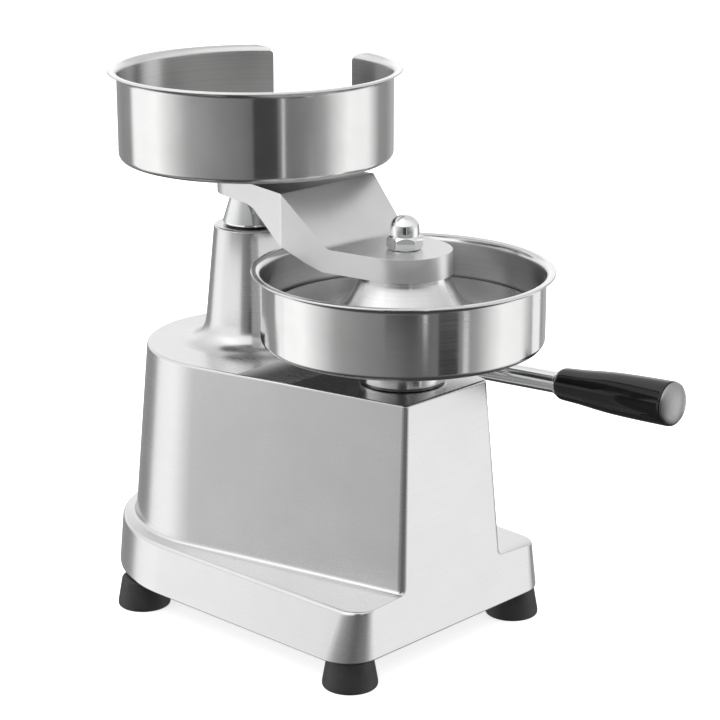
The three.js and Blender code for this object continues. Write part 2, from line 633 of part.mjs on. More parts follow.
function dispenserBowl() {
  const wallR = MOULD_R + SHEET + 0.5;
  const depth = DISPENSER_RIM_Z - DISPENSER_FLOOR_Z + 2 * OVER;
  const bowl = turned([
    [0, DISPENSER_FLOOR_Z],
    ...bowlProfile(wallR, DISPENSER_FLOOR_Z, DISPENSER_RIM_Z, 1).slice(1, -1),
    [0, DISPENSER_FLOOR_Z + SHEET_FLOOR],
  ], ROUND);
  const [from, to] = DISPENSER_GAP.map(THREE.MathUtils.degToRad);
  const wedge = new THREE.Shape([new THREE.Vector2(0, 0), ...arc(0, 0, 1.5 * wallR, from, to, 6)]);
  const window = cut(flat(wedge, depth), bar(wallR - 3, -OVER, depth + OVER))
    .translate(0, 0, DISPENSER_FLOOR_Z + WINDOW_SILL);
  const holes = screwHoles(around(3, PLATFORM_SCREW_CIRCLE), DISPENSER_FLOOR_Z - OVER,
    DISPENSER_FLOOR_Z + SHEET_FLOOR + OVER);
  return cut(bowl, window, ...holes);
}

piece('dispenser_bowl', dispenserBowl(), stainless, DISPENSER_X);

piece('dispenser_spacer', cut(
  bar(SPACER_R, ARM_TOP_Z + GAP, DISPENSER_FLOOR_Z - GAP, MID_ROUND).translate(DISPENSER_X, 0, 0),
  bar(WASHER_R + 0.6, ARM_TOP_Z - OVER, DISPENSER_FLOOR_Z + OVER).translate(COLUMN_X, 0, 0),
  ...screwHoles(spacerScrewPlaces, ARM_TOP_Z - OVER, DISPENSER_FLOOR_Z + OVER)), turnedSteel);

const headZ = DISPENSER_FLOOR_Z + SHEET_FLOOR + GAP;
spacerScrewPlaces.forEach(([x, y], i) => {
  const screw = turned([
    [0, SPACER_SCREW_FOOT_Z], [SMALL_SCREW_R, SPACER_SCREW_FOOT_Z], [SMALL_SCREW_R, headZ],
    [3.9, headZ], [3.4, headZ + 1.6], [0, headZ + 2.2],
  ], HOLE_ROUND);
  piece(`dispenser_screw_${i + 1}`, screw, stainless, x, y);
});

// --- press plate, stud and cap nut ----------------------------------------------------

const PLATE_UNDER_Z = 184.1;
const PLATE_TOP_Z = 188.6;
const PLATE_R = 73.7;
const STUD_TOP_Z = 236;

piece('press_plate', turned([
  [0, PLATE_UNDER_Z], [PLATE_R - 0.6, PLATE_UNDER_Z], [PLATE_R, PLATE_UNDER_Z + 0.7],
  [PLATE_R, PLATE_TOP_Z - 0.7], [PLATE_R - 0.6, PLATE_TOP_Z], [42, PLATE_TOP_Z + 0.3],
  [37, 189.6], [33.4, 192], [30.7, 195], [26.9, 201],
  [24.7, 205.8], [24, TONGUE_UNDER_Z - GAP], [STUD_R + GAP, TONGUE_UNDER_Z - GAP],
  [STUD_R + GAP, PLATE_TOP_Z], [0, PLATE_TOP_Z],
], ROUND), satinAluminium, STUD_X);

piece('press_stud', bar(STUD_R, PLATE_TOP_Z + GAP, STUD_TOP_Z), zincSteel, STUD_X);

// The cap nut's flats aren't square to the arm.
const CAP_NUT_TURN = 17 * Math.PI / 180;

function capNut() {
  const base = TONGUE_TOP_Z + GAP;
  const hexTop = base + 7;
  const domeR = 7.9;
  const hex = common(hexagon(17, base, hexTop).rotateZ(CAP_NUT_TURN), turned([
    [0, base], [8.8, base], [9.9, base + 1], [9.9, base + 5.6], [8.2, hexTop], [0, hexTop],
  ]));
  const dome = turned([
    [0, hexTop - 1], [domeR, hexTop - 1], [domeR, base + 10.5], [7.3, base + 13.2], [5.9, base + 15.6],
    [3.6, base + 17.3], [0, base + 18],
  ]);
  return cut(join(hex, dome), bar(STUD_R + GAP, base - OVER, STUD_TOP_Z + 0.4));
}

piece('cap_nut', capNut(), chrome, STUD_X);

// --- lever ----------------------------------------------------------------------------

const HUB_R = 14.5;
const SOCKET_R = 9.6;
const SOCKET_END = 26;           // distances along the lever from the shaft's axis
const ROD_START = 11;
const ROD_END = 150;
const GRIP_START_R = 8.4;
const CAP_STEM_R = 5;            // the stem that holds the cap in the grip's end
const CAP_STEM_START = 158;

function leverHub() {
  const [low, high] = HUB_Y;
  const hub = onShaft(turned([
    [0, low], [HUB_R - 1, low], [HUB_R, low + 1], [HUB_R, high - 1], [HUB_R - 1, high], [0, high],
  ]));
  const socket = radial(bar(SOCKET_R, SHAFT_R / 2, SOCKET_END), LEVER_TILT, LEVER_Y);
  return cut(join(hub, socket),
    onShaft(bar(SHAFT_R + GAP, low - OVER, high + OVER)),
    radial(bar(ROD_R + GAP, ROD_START - 0.5, SOCKET_END + OVER), LEVER_TILT, LEVER_Y),
    radial(bar(SET_SCREW_R + GAP, SHAFT_R / 2, HUB_R + OVER, HOLE_ROUND),
      LEVER_TILT + Math.PI, LEVER_Y));
}

piece('lever_hub', leverHub(), chrome);
piece('hub_set_screw',
  radial(bar(SET_SCREW_R, SHAFT_R + GAP, HUB_R - GAP, HOLE_ROUND), LEVER_TILT + Math.PI, LEVER_Y),
  zincSteel);
piece('lever_rod', radial(bar(ROD_R, ROD_START, ROD_END), LEVER_TILT, LEVER_Y), chrome);
piece('grip_ferrule', radial(
  sleeve(ROD_R + GAP, 7.4, GRIP_START - 2, GRIP_START - GAP), LEVER_TILT, LEVER_Y), chrome);
piece('lever_grip', radial(turned([
  [0, ROD_END + 0.4], [ROD_R + GAP, ROD_END + 0.4], [ROD_R + GAP, GRIP_START],
  [GRIP_START_R, GRIP_START], [9.1, GRIP_START + 1.6], [9.9, 105], [11, 117], [11.8, 129], [12.3, 148],
  [12.5, 163], [12.4, GRIP_END], [CAP_STEM_R + GAP, GRIP_END],
  [CAP_STEM_R + GAP, CAP_STEM_START - GAP], [0, CAP_STEM_START - GAP],
], 20), LEVER_TILT, LEVER_Y), blackPlastic);
piece('grip_cap', radial(turned([
  [0, CAP_STEM_START], [CAP_STEM_R, CAP_STEM_START], [CAP_STEM_R, GRIP_END + GAP], [12.3, GRIP_END + GAP],
  [12.2, GRIP_END + 1], [9.5, 168.7], [5, 169.8], [0, CAP_END],
], 20), LEVER_TILT, LEVER_Y), zincSteel);

// --- the whole press ------------------------------------------------------------------

const box = new THREE.Box3().setFromObject(model);
const middle = box.getCenter(new THREE.Vector3());
model.position.set(-middle.x, -middle.y, -box.min.z);

const pattyPress = new THREE.Group();
pattyPress.add(model);
pattyPress.updateMatrixWorld(true);

export default pattyPress;
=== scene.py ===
import json
import math

import bmesh
import bpy
from mathutils import Matrix, Vector


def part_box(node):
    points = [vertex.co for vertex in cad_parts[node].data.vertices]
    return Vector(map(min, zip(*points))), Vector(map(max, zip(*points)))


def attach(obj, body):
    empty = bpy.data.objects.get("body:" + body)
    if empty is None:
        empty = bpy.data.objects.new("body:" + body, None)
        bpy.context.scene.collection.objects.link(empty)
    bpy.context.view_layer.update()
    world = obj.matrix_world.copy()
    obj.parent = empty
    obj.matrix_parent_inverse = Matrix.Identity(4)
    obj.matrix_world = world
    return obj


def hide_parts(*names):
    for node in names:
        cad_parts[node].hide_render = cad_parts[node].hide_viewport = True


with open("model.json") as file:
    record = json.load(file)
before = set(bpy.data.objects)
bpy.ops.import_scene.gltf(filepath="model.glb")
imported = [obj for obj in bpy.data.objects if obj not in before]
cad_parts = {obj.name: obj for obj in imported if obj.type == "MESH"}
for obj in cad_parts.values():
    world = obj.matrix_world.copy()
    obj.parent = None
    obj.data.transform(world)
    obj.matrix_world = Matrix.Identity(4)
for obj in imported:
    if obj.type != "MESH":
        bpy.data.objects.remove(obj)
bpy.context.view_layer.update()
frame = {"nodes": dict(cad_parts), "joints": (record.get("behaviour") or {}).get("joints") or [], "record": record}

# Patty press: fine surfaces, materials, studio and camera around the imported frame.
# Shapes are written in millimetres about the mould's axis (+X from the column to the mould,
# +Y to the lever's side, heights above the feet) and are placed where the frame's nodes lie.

MM = 0.001
record = frame["record"]
body_of_node = {n: b for b, nodes in record["behaviour"]["bodies"].items() for n in nodes}
slot_of_node = {part["node"]: part["material_slot"] for part in record["subparts"]}
joints = {joint["name"]: joint for joint in frame["joints"]}


# --- places taken from the frame ---

def axis_of(node):
    """The upright axis through the middle of a turned node, as a point on the floor."""
    low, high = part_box(node)
    return Vector(((low.x + high.x) / 2, (low.y + high.y) / 2, 0))


def heights(node):
    """The heights of a node's underside and top."""
    low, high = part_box(node)
    return low.z / MM, high.z / MM


def half_width(node):
    low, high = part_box(node)
    return (high.x - low.x) / 2 / MM


def nodes_named(start):
    """Names of the CAD nodes that start with some letters."""
    return [node for node in sorted(frame["nodes"]) if node.startswith(start)]


MOULD = axis_of("mould_neck")
COLUMN = axis_of("post_cone")
DISPENSER = axis_of("dispenser_spacer")
STUD = axis_of("press_stud")
SHAFT = Vector(joints["lever_turn"]["pos_m"])
COLUMN_X = (COLUMN.x - MOULD.x) / MM
DISPENSER_X = (DISPENSER.x - MOULD.x) / MM
STUD_X = (STUD.x - MOULD.x) / MM
SHAFT_X = (SHAFT.x - MOULD.x) / MM
SHAFT_Z = SHAFT.z / MM

FOOT_SCREWS = nodes_named("foot_screw")
FEET = [node for node in nodes_named("foot_") if node not in FOOT_SCREWS]

# Radii that several pieces share. GAP is the play between pieces that fit together.
GAP = 0.3
SHAFT_R = 8
SHAFT_BUSH_R = 11.2
POST_R = 11
POST_TOP_R = 8
EJECTOR_ROD_R = 6
NECK_STEM_R = 12
STUD_R = 5
ROD_R = 6.2

LEVER_TILT = math.radians(3.9)

upright_at = Matrix.Translation
ALONG_Y = Matrix.Rotation(-math.pi / 2, 4, "X")


def along_lever():
    """The lever's line at rest: local +Z runs from the shaft's axis out to the grip."""
    return Matrix.Translation(SHAFT) @ Matrix.Rotation(math.pi / 2 - LEVER_TILT, 4, "Y")


def opposite_lever():
    """The line that runs from the shaft's axis away from the grip."""
    return Matrix.Translation(SHAFT) @ Matrix.Rotation(-math.pi / 2 - LEVER_TILT, 4, "Y")


def along_shaft():
    """The cross shaft's line: local +Z is +Y, and zero is the mould's own plane."""
    return Matrix.Translation((SHAFT.x, MOULD.y, SHAFT.z)) @ ALONG_Y


# --- meshes ---

def soften(points, closed, steps=5):
    """Rounds the corners of an outline of (x, y) or (x, y, radius) points."""
    count = len(points)
    result = []
    for i, point in enumerate(points):
        corner = Vector(point[:2])
        radius = point[2] if len(point) > 2 else 0
        if radius <= 0 or (not closed and i in (0, count - 1)):
            result.append(corner)
            continue
        before = Vector(points[i - 1][:2]) - corner
        after = Vector(points[(i + 1) % count][:2]) - corner
        half = before.angle(after) / 2
        reach = min(radius / math.tan(half), 0.49 * before.length, 0.49 * after.length)
        radius = reach * math.tan(half)
        inward = (before.normalized() + after.normalized()).normalized()
        middle = corner + inward * (radius / math.sin(half))
        start = corner + before.normalized() * reach - middle
        end = corner + after.normalized() * reach - middle
        sweep = start.angle_signed(end)
        for k in range(steps + 1):
            turn = Matrix.Rotation(-sweep * k / steps, 2)
            result.append(middle + turn @ start)
    return result


def smooth_curve(points, steps=6):
    """A curve through (x, y) points."""
    points = [Vector(p) for p in points]
    padded = [2 * points[0] - points[1], *points, 2 * points[-1] - points[-2]]
    result = [points[0]]
    for a, b, c, d in zip(padded, padded[1:], padded[2:], padded[3:]):
        for k in range(1, steps + 1):
            t = k / steps
            result.append(
                0.5 * (2 * b + (c - a) * t + (2 * a - 5 * b + 4 * c - d) * t * t
                       + (3 * b - a - 3 * c + d) * t ** 3))
    return result


def mesh_from(points, faces, name):
    mesh = bpy.data.meshes.new(name)
    mesh.from_pydata([Vector(p) * MM for p in points], [], faces)
    bm = bmesh.new()
    bm.from_mesh(mesh)
    bmesh.ops.recalc_face_normals(bm, faces=bm.faces)
    bm.to_mesh(mesh)
    bm.free()
    return mesh


def lathe_mesh(profile, name="turned", segments=96):
    """Turns (radius, height[, corner radius]) points about +Z. A profile that starts and
    ends on the axis makes a plug, and any other one closes on itself as a ring."""
    on_axis = profile[0][0] == 0
    outline = soften(profile, closed=not on_axis)
    points, rings = [], []
    for radius, height in outline:
        if on_axis and radius < 1e-6:
            rings.append([len(points)])
            points.append((0, 0, height))
            continue
        rings.append([len(points) + k for k in range(segments)])
        for k in range(segments):
            angle = 2 * math.pi * k / segments
            points.append((radius * math.cos(angle), radius * math.sin(angle), height))
    faces = []
    pairs = list(zip(rings, rings[1:])) + ([] if on_axis else [(rings[-1], rings[0])])
    for lower, upper in pairs:
        for k in range(segments):
            n = (k + 1) % segments
            if len(lower) == 1:
                faces.append((lower[0], upper[n], upper[k]))
            elif len(upper) == 1:
                faces.append((lower[k], lower[n], upper[0]))
            else:
                faces.append((lower[k], lower[n], upper[n], upper[k]))
    return mesh_from(points, faces, name)


def prism_mesh(outline, low, high):
    """An (x, y) outline raised from one height to another."""
    count = len(outline)
    points = [(x, y, low) for x, y in outline] + [(x, y, high) for x, y in outline]
    faces = [tuple(range(count)), tuple(range(2 * count - 1, count - 1, -1))]
    faces += [(k, (k + 1) % count, (k + 1) % count + count, k + count) for k in range(count)]
    return mesh_from(points, faces, "prism")


def arc(centre, radius, start, end, steps):
    """Points along an arc, from one angle in radians to another."""
    angles = [start + (end - start) * k / steps for k in range(steps + 1)]
    return [(centre[0] + radius * math.cos(a), centre[1] + radius * math.sin(a)) for a in angles]


def rod_mesh(radius, low, high, segments=48):
    """A plain round bar, used for bores and pads."""
    return lathe_mesh([(0, low), (radius, low), (radius, high), (0, high)], segments=segments)


def object_of(mesh, name, matrix=None):
    obj = bpy.data.objects.new(name, mesh)
    bpy.context.scene.collection.objects.link(obj)
    if matrix is not None:
        obj.matrix_world = matrix
    return obj


def gathered(meshes):
    """One mesh that holds several placed ones, given as (mesh, matrix) pairs."""
    bm = bmesh.new()
    for mesh, matrix in meshes:
        part = mesh.copy()
        part.transform(matrix)
        bm.from_mesh(part)
        bpy.data.meshes.remove(part)
    mesh = bpy.data.meshes.new("gathered")
    bm.to_mesh(mesh)
    bm.free()
    return mesh


def combined(mesh, operation, *others):
    """Joins to, cuts from or intersects one mesh with others, given as (mesh, matrix)."""
    base = object_of(mesh, "base")
    tools = []
    for other, matrix in others:
        tool = object_of(other.copy(), "tool")
        tool.data.transform(matrix)
        step = base.modifiers.new("step", "BOOLEAN")
        step.operation = operation
        step.solver = "EXACT"
        step.object = tool
        tools.append(tool)
    depsgraph = bpy.context.evaluated_depsgraph_get()
    result = bpy.data.meshes.new_from_object(base.evaluated_get(depsgraph))
    for obj in [base, *tools]:
        bpy.data.objects.remove(obj)
    return result


def split_end_caps(mesh):
    """Splits the faces with many corners, which aren't flat, into triangles."""
    bm = bmesh.new()
    bm.from_mesh(mesh)
    bmesh.ops.triangulate(bm, faces=[f for f in bm.faces if len(f.verts) > 4])
    bm.to_mesh(mesh)
    bm.free()


def shifted(x=0, y=0, z=0):
    return Matrix.Translation(Vector((x, y, z)) * MM)


def fine_piece(node, mesh, matrix, material=None, sharp=35, bevel=0):
    """Places and shades a mesh, in its slot's material or in another one by name, hangs it on the
    moving body of the CAD node it stands for and hides that node."""
    obj = object_of(mesh, node + "_fine", matrix)
    mesh.shade_smooth()
    if bevel:
        edge = obj.modifiers.new("edge", "BEVEL")
        edge.width = bevel * MM
        edge.segments = 3
        edge.limit_method = "ANGLE"
        edge.angle_limit = math.radians(25)
        edge.use_clamp_overlap = True
        edge.miter_outer = "MITER_ARC"
    mesh.set_sharp_from_angle(angle=math.radians(180 if bevel else sharp))
    # The broad faces set the normals along every soft edge.
    weighted = obj.modifiers.new("normals", "WEIGHTED_NORMAL")
    weighted.keep_sharp = True
    weighted.weight = 80
    mesh.materials.clear()
    mesh.materials.append(materials[material or slot_of_node[node]])
    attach(obj, body_of_node[node])
    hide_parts(node)


def turned_piece(node, profile, matrix, segments=96, material=None):
    fine_piece(node, lathe_mesh(profile, node, segments), matrix, material)


def upright_turned(node, profile, axis, segments=64, material=None):
    """A lathed piece about an upright axis."""
    turned_piece(node, profile, upright_at(axis), segments, material)


# --- materials ---

class Shader:
    """A small helper that adds nodes to one material and links them."""

    def __init__(self, name):
        self.material = bpy.data.materials.new(name)
        self.material.use_nodes = True
        self.tree = self.material.node_tree
        self.surface = self.tree.nodes["Principled BSDF"]

    def node(self, kind, **settings):
        made = self.tree.nodes.new(kind)
        for key, value in settings.items():
            if key in made.inputs:
                made.inputs[key].default_value = value
            else:
                setattr(made, key, value)
        return made

    def link(self, source, target):
        self.tree.links.new(source, target)

    def set(self, **values):
        for key, value in values.items():
            self.surface.inputs[key.replace("_", " ")].default_value = value

    def coordinates(self, scale):
        place = self.node("ShaderNodeTexCoord")
        stretch = self.node("ShaderNodeMapping", Scale=scale)
        self.link(place.outputs["Object"], stretch.inputs["Vector"])
        return stretch.outputs["Vector"]

    def noise(self, vector, scale, detail, roughness=0.6):
        made = self.node("ShaderNodeTexNoise", Scale=scale, Detail=detail, Roughness=roughness)
        self.link(vector, made.inputs["Vector"])
        return made.outputs["Fac"]

    def even_noise(self, scale, detail, roughness=0.6):
        """Noise that is the same in every direction."""
        return self.noise(self.coordinates((1, 1, 1)), scale, detail, roughness)

    def ranged(self, value, low, high, from_low=0.3, from_high=0.7):
        """Maps from_low to from_high, where most noise lies, onto low to high."""
        made = self.node("ShaderNodeMapRange")
        for key, number in (("From Min", from_low), ("From Max", from_high), ("To Min", low),
                            ("To Max", high)):
            made.inputs[key].default_value = number
        self.link(value, made.inputs["Value"])
        return made.outputs["Result"]

    def feed(self, sockets, values):
        """Sets each socket to its number, or links it to the output given for it."""
        for socket, value in zip(sockets, values):
            if isinstance(value, (int, float)):
                socket.default_value = value
            else:
                self.link(value, socket)

    def math(self, operation, *values):
        made = self.node("ShaderNodeMath", operation=operation)
        self.feed(made.inputs, values)
        return made.outputs["Value"]

    def mixed(self, share, a, b):
        """share 0 gives a and 1 gives b, for numbers."""
        made = self.node("ShaderNodeMix", data_type="FLOAT")
        self.feed((made.inputs[0], made.inputs[2], made.inputs[3]), (share, a, b))
        return made.outputs[0]

    def tinted(self, share, dark, light):
        """Colour between two tones by a 0 to 1 share."""
        made = self.node("ShaderNodeMix", data_type="RGBA")
        made.inputs[6].default_value = (*dark, 1)
        made.inputs[7].default_value = (*light, 1)
        self.link(share, made.inputs[0])
        self.link(made.outputs[2], self.surface.inputs["Base Color"])
        return made.outputs[2]

    def bumped(self, height, depth, strength):
        """Bump from a 0 to 1 height, with its depth in millimetres."""
        made = self.node("ShaderNodeBump", Strength=strength, Distance=depth * MM)
        self.link(height, made.inputs["Height"])
        self.link(made.outputs["Normal"], self.surface.inputs["Normal"])

    def brushed(self, anisotropy):
        """Reflections stretch across brushing that runs round the piece's local Z axis."""
        self.set(Anisotropic=anisotropy, Anisotropic_Rotation=0.25)
        tangent = self.node("ShaderNodeTangent", direction_type="RADIAL", axis="Z")
        self.link(tangent.outputs["Tangent"], self.surface.inputs["Tangent"])

    def roughened(self, value, *more):
        """Roughness from one output, or from the sum of two."""
        total = self.math("ADD", value, *more) if more else value
        self.link(total, self.surface.inputs["Roughness"])


def grain_height(shader, level_scale, along, fine):
    """Level brushing: fast across the grain, slow along it, on walls and on flat tops."""
    on_walls = shader.noise(shader.coordinates((along, along, fine)), level_scale, 3)
    on_tops = shader.noise(shader.coordinates((along, fine, along)), level_scale, 3)
    normal = shader.node("ShaderNodeNewGeometry")
    split = shader.node("ShaderNodeSeparateXYZ")
    shader.link(normal.outputs["Normal"], split.inputs["Vector"])
    upward = shader.ranged(shader.math("ABSOLUTE", split.outputs["Z"]), 0, 1, 0.6, 0.8)
    return shader.mixed(upward, on_walls, on_tops)


def cast_aluminium():
    shader = Shader("cast_aluminium")
    shader.set(Metallic=1.0)
    grain = grain_height(shader, 60, 0.12, 26)
    cloud = shader.even_noise(26, 5, 0.65)
    speck = shader.even_noise(2600, 2, 0.5)
    height = shader.math("ADD", shader.math("MULTIPLY", grain, 0.7),
                         shader.math("MULTIPLY", speck, 0.3))
    shader.tinted(shader.ranged(cloud, 0, 1), (0.69, 0.69, 0.692), (0.73, 0.73, 0.732))
    shader.roughened(shader.ranged(grain, 0.23, 0.28), shader.ranged(cloud, -0.01, 0.015))
    shader.bumped(height, 0.006, 0.12)
    shader.brushed(0.35)
    return shader.material


def satin_aluminium():
    shader = Shader("satin_aluminium")
    shader.set(Metallic=1.0)
    grain = shader.even_noise(1800, 3, 0.6)
    cloud = shader.even_noise(30, 4, 0.6)
    shader.tinted(shader.ranged(cloud, 0, 1), (0.74, 0.74, 0.745), (0.81, 0.81, 0.815))
    shader.roughened(shader.ranged(grain, 0.34, 0.44), shader.ranged(cloud, -0.03, 0.03))
    shader.bumped(grain, 0.012, 0.4)
    return shader.material


def turned_metal(name, dark, light, roughness, anisotropy, depth, inner_rough_and_shade=None):
    """Metal brushed round its own local Z axis. The last argument gives the roughness of the walls that
    face the axis, which are duller, and two darker tones painted on them as the shade inside the piece."""
    shader = Shader(name)
    shader.set(Metallic=1.0)
    split = shader.node("ShaderNodeSeparateXYZ")
    place = shader.node("ShaderNodeTexCoord")
    shader.link(place.outputs["Object"], split.inputs["Vector"])
    square_x = shader.math("MULTIPLY", split.outputs["X"], split.outputs["X"])
    square_y = shader.math("MULTIPLY", split.outputs["Y"], split.outputs["Y"])
    radius = shader.math("SQRT", shader.math("ADD", square_x, square_y))
    lines = shader.node("ShaderNodeCombineXYZ")
    shader.link(radius, lines.inputs["X"])
    shader.link(split.outputs["Z"], lines.inputs["Y"])
    round_lines = shader.noise(lines.outputs["Vector"], 900, 4, 0.7)
    cloud = shader.even_noise(40, 3, 0.6)
    colour = shader.tinted(shader.ranged(cloud, 0, 1), dark, light)
    rough = shader.math("ADD", shader.ranged(round_lines, roughness * 0.8, roughness * 1.25),
                        shader.ranged(cloud, -0.015, 0.015))
    if inner_rough_and_shade:
        normal = shader.node("ShaderNodeNewGeometry")
        outward = shader.node("ShaderNodeVectorMath", operation="DOT_PRODUCT")
        shader.link(normal.outputs["Normal"], outward.inputs[0])
        shader.link(place.outputs["Object"], outward.inputs[1])
        inner_rough, inner_shade_dark, inner_shade_light = inner_rough_and_shade
        faces_axis = shader.ranged(outward.outputs["Value"], 1, 0, -0.03, -0.01)
        rough = shader.mixed(faces_axis, rough, inner_rough)
        # The darker tones of the walls that face the axis are painted shade inside the bowl.
        inner_shaded_colour = shader.tinted(shader.ranged(round_lines, 0, 1), inner_shade_dark, inner_shade_light)
        both = shader.node("ShaderNodeMix", data_type="RGBA")
        for source, socket in ((faces_axis, 0), (colour, 6), (inner_shaded_colour, 7)):
            shader.link(source, both.inputs[socket])
        shader.link(both.outputs[2], shader.surface.inputs["Base Color"])
    shader.roughened(rough)
    shader.bumped(round_lines, depth, 0.3)
    shader.brushed(anisotropy)
    return shader.material


def chrome():
    shader = Shader("chrome")
    shader.set(Metallic=1.0)
    cloud = shader.even_noise(60, 3, 0.6)
    shader.tinted(shader.ranged(cloud, 0, 1), (0.83, 0.835, 0.84), (0.88, 0.885, 0.89))
    shader.roughened(shader.ranged(cloud, 0.045, 0.08))
    return shader.material


def rubber():
    shader = Shader("rubber")
    shader.set(Specular_IOR_Level=0.5)
    grain = shader.even_noise(1500, 3, 0.6)
    cloud = shader.even_noise(90, 3, 0.6)
    shader.tinted(shader.ranged(cloud, 0, 1), (0.010, 0.010, 0.010), (0.02, 0.02, 0.02))
    shader.roughened(shader.ranged(grain, 0.42, 0.58))
    shader.bumped(grain, 0.03, 0.5)
    return shader.material


def black_plastic():
    shader = Shader("black_plastic")
    shader.set(Specular_IOR_Level=0.5)
    wave = shader.noise(shader.coordinates((1, 1, 0.4)), 55, 2, 0.5)
    speck = shader.even_noise(900, 2, 0.5)
    shader.tinted(shader.ranged(speck, 0, 1), (0.005, 0.005, 0.0055), (0.009, 0.009, 0.0095))
    shader.roughened(shader.ranged(speck, 0.07, 0.12))
    shader.bumped(wave, 0.05, 0.25)
    return shader.material


materials = {
    "cast_aluminium": cast_aluminium(),
    "satin_aluminium": satin_aluminium(),
    # The bowls' inner walls are rougher, and darker by painted shade.
    "stainless": turned_metal("stainless", (0.72, 0.72, 0.715), (0.78, 0.78, 0.775), 0.15, 0.8, 0.006,
                              inner_rough_and_shade=(0.28, (0.46, 0.46, 0.458), (0.57, 0.57, 0.568))),
    "chrome": chrome(),
}
# Tones, roughness, anisotropy and depth of the other turned metals
for name, dark, light, roughness, anisotropy, depth in (
    ("turned_steel", (0.55, 0.55, 0.56), (0.63, 0.63, 0.64), 0.28, 0.4, 0.01),
    ("zinc_steel", (0.50, 0.52, 0.54), (0.60, 0.62, 0.64), 0.38, 0.0, 0.01),
    ("bronze", (0.50, 0.34, 0.15), (0.62, 0.43, 0.21), 0.35, 0.0, 0.01),
    ("turned_aluminium", (0.66, 0.66, 0.662), (0.74, 0.74, 0.742), 0.22, 0.6, 0.008),
    ("polished_neck", (0.74, 0.74, 0.742), (0.80, 0.80, 0.802), 0.15, 0.8, 0.004),
    ("satin_cap", (0.36, 0.36, 0.36), (0.41, 0.41, 0.41), 0.27, 0.0, 0.008),
):
    materials[name] = turned_metal(name, dark, light, roughness, anisotropy, depth)
materials["rubber"] = rubber()
materials["black_plastic"] = black_plastic()


# --- body casting ---

WALL = 5
PLINTH_FOOT_Z, COLUMN_TOP_Z = heights("body_casting")
PLINTH_TOP_Z = 45.1
BODY_FOOT_Z = 46.4
DECK_Z = 148.7
COLUMN_BOSS_Z = 128
COLUMN_FOOT_R = 27.9
COLUMN_TOP_R = 21.2
COLUMN_BORE_R = 14.5
COLUMN_BOSS_R = 20
EDGE_STEPS = 6

# Outlines of the casting's levels: its flat front, half its width there, the radius of its
# front corners, and the middle and radius of its round rear.
PLINTH_FOOT = dict(front=39.68, half=81.6, corner=19.4, rear_x=-110.5, rear_r=84.3)
PLINTH_TOP = dict(front=38.17, half=74.2, corner=12.7, rear_x=-113.5, rear_r=79.8)
BODY_FOOT = dict(front=38.1, half=40.2, corner=4.5, rear_x=-113.5, rear_r=72)
BODY_TOP = dict(front=32.6, half=32.3, corner=3.2, rear_x=-113.3, rear_r=63.1)


def teardrop(front, half, corner, rear_x, rear_r, z):
    """A flat front with round corners, straight sides and a round rear, walked from the
    front's middle round the +Y side; every teardrop has the same number of points."""
    reach = Vector((front - rear_x, half))
    side_angle = math.atan2(reach.y, reach.x) + math.acos(rear_r / reach.length)
    touch = Vector((rear_x + rear_r * math.cos(side_angle), rear_r * math.sin(side_angle)))
    sharp = Vector((front, half))
    along_side = (touch - sharp).normalized()
    along_front = Vector((0, -1))
    half_angle = along_side.angle(along_front) / 2
    inward = (along_side + along_front).normalized()
    middle = sharp + inward * (corner / math.sin(half_angle))
    turn = math.pi - 2 * half_angle
    bend = [Vector(p) for p in arc(middle, corner, 0, turn, 8)]
    rear = [Vector(p) for p in arc((rear_x, 0), rear_r, side_angle, math.pi, 30)]
    front_line = [Vector((front, bend[0].y * k / 8)) for k in range(8)]
    side_line = [bend[-1].lerp(rear[0], k / 16) for k in range(1, 16)]
    left = front_line + bend + side_line + rear
    right = [Vector((p.x, -p.y)) for p in reversed(left[1:-1])]
    return [Vector((p.x, p.y, z)) for p in left + right]


def inner_teardrop(outline, z):
    """The inside of a level, one wall in from its outline."""
    smaller = dict(outline, front=outline["front"] - WALL, half=outline["half"] - WALL,
                   corner=max(outline["corner"] - WALL, 2), rear_r=outline["rear_r"] - WALL)
    return teardrop(**smaller, z=z)


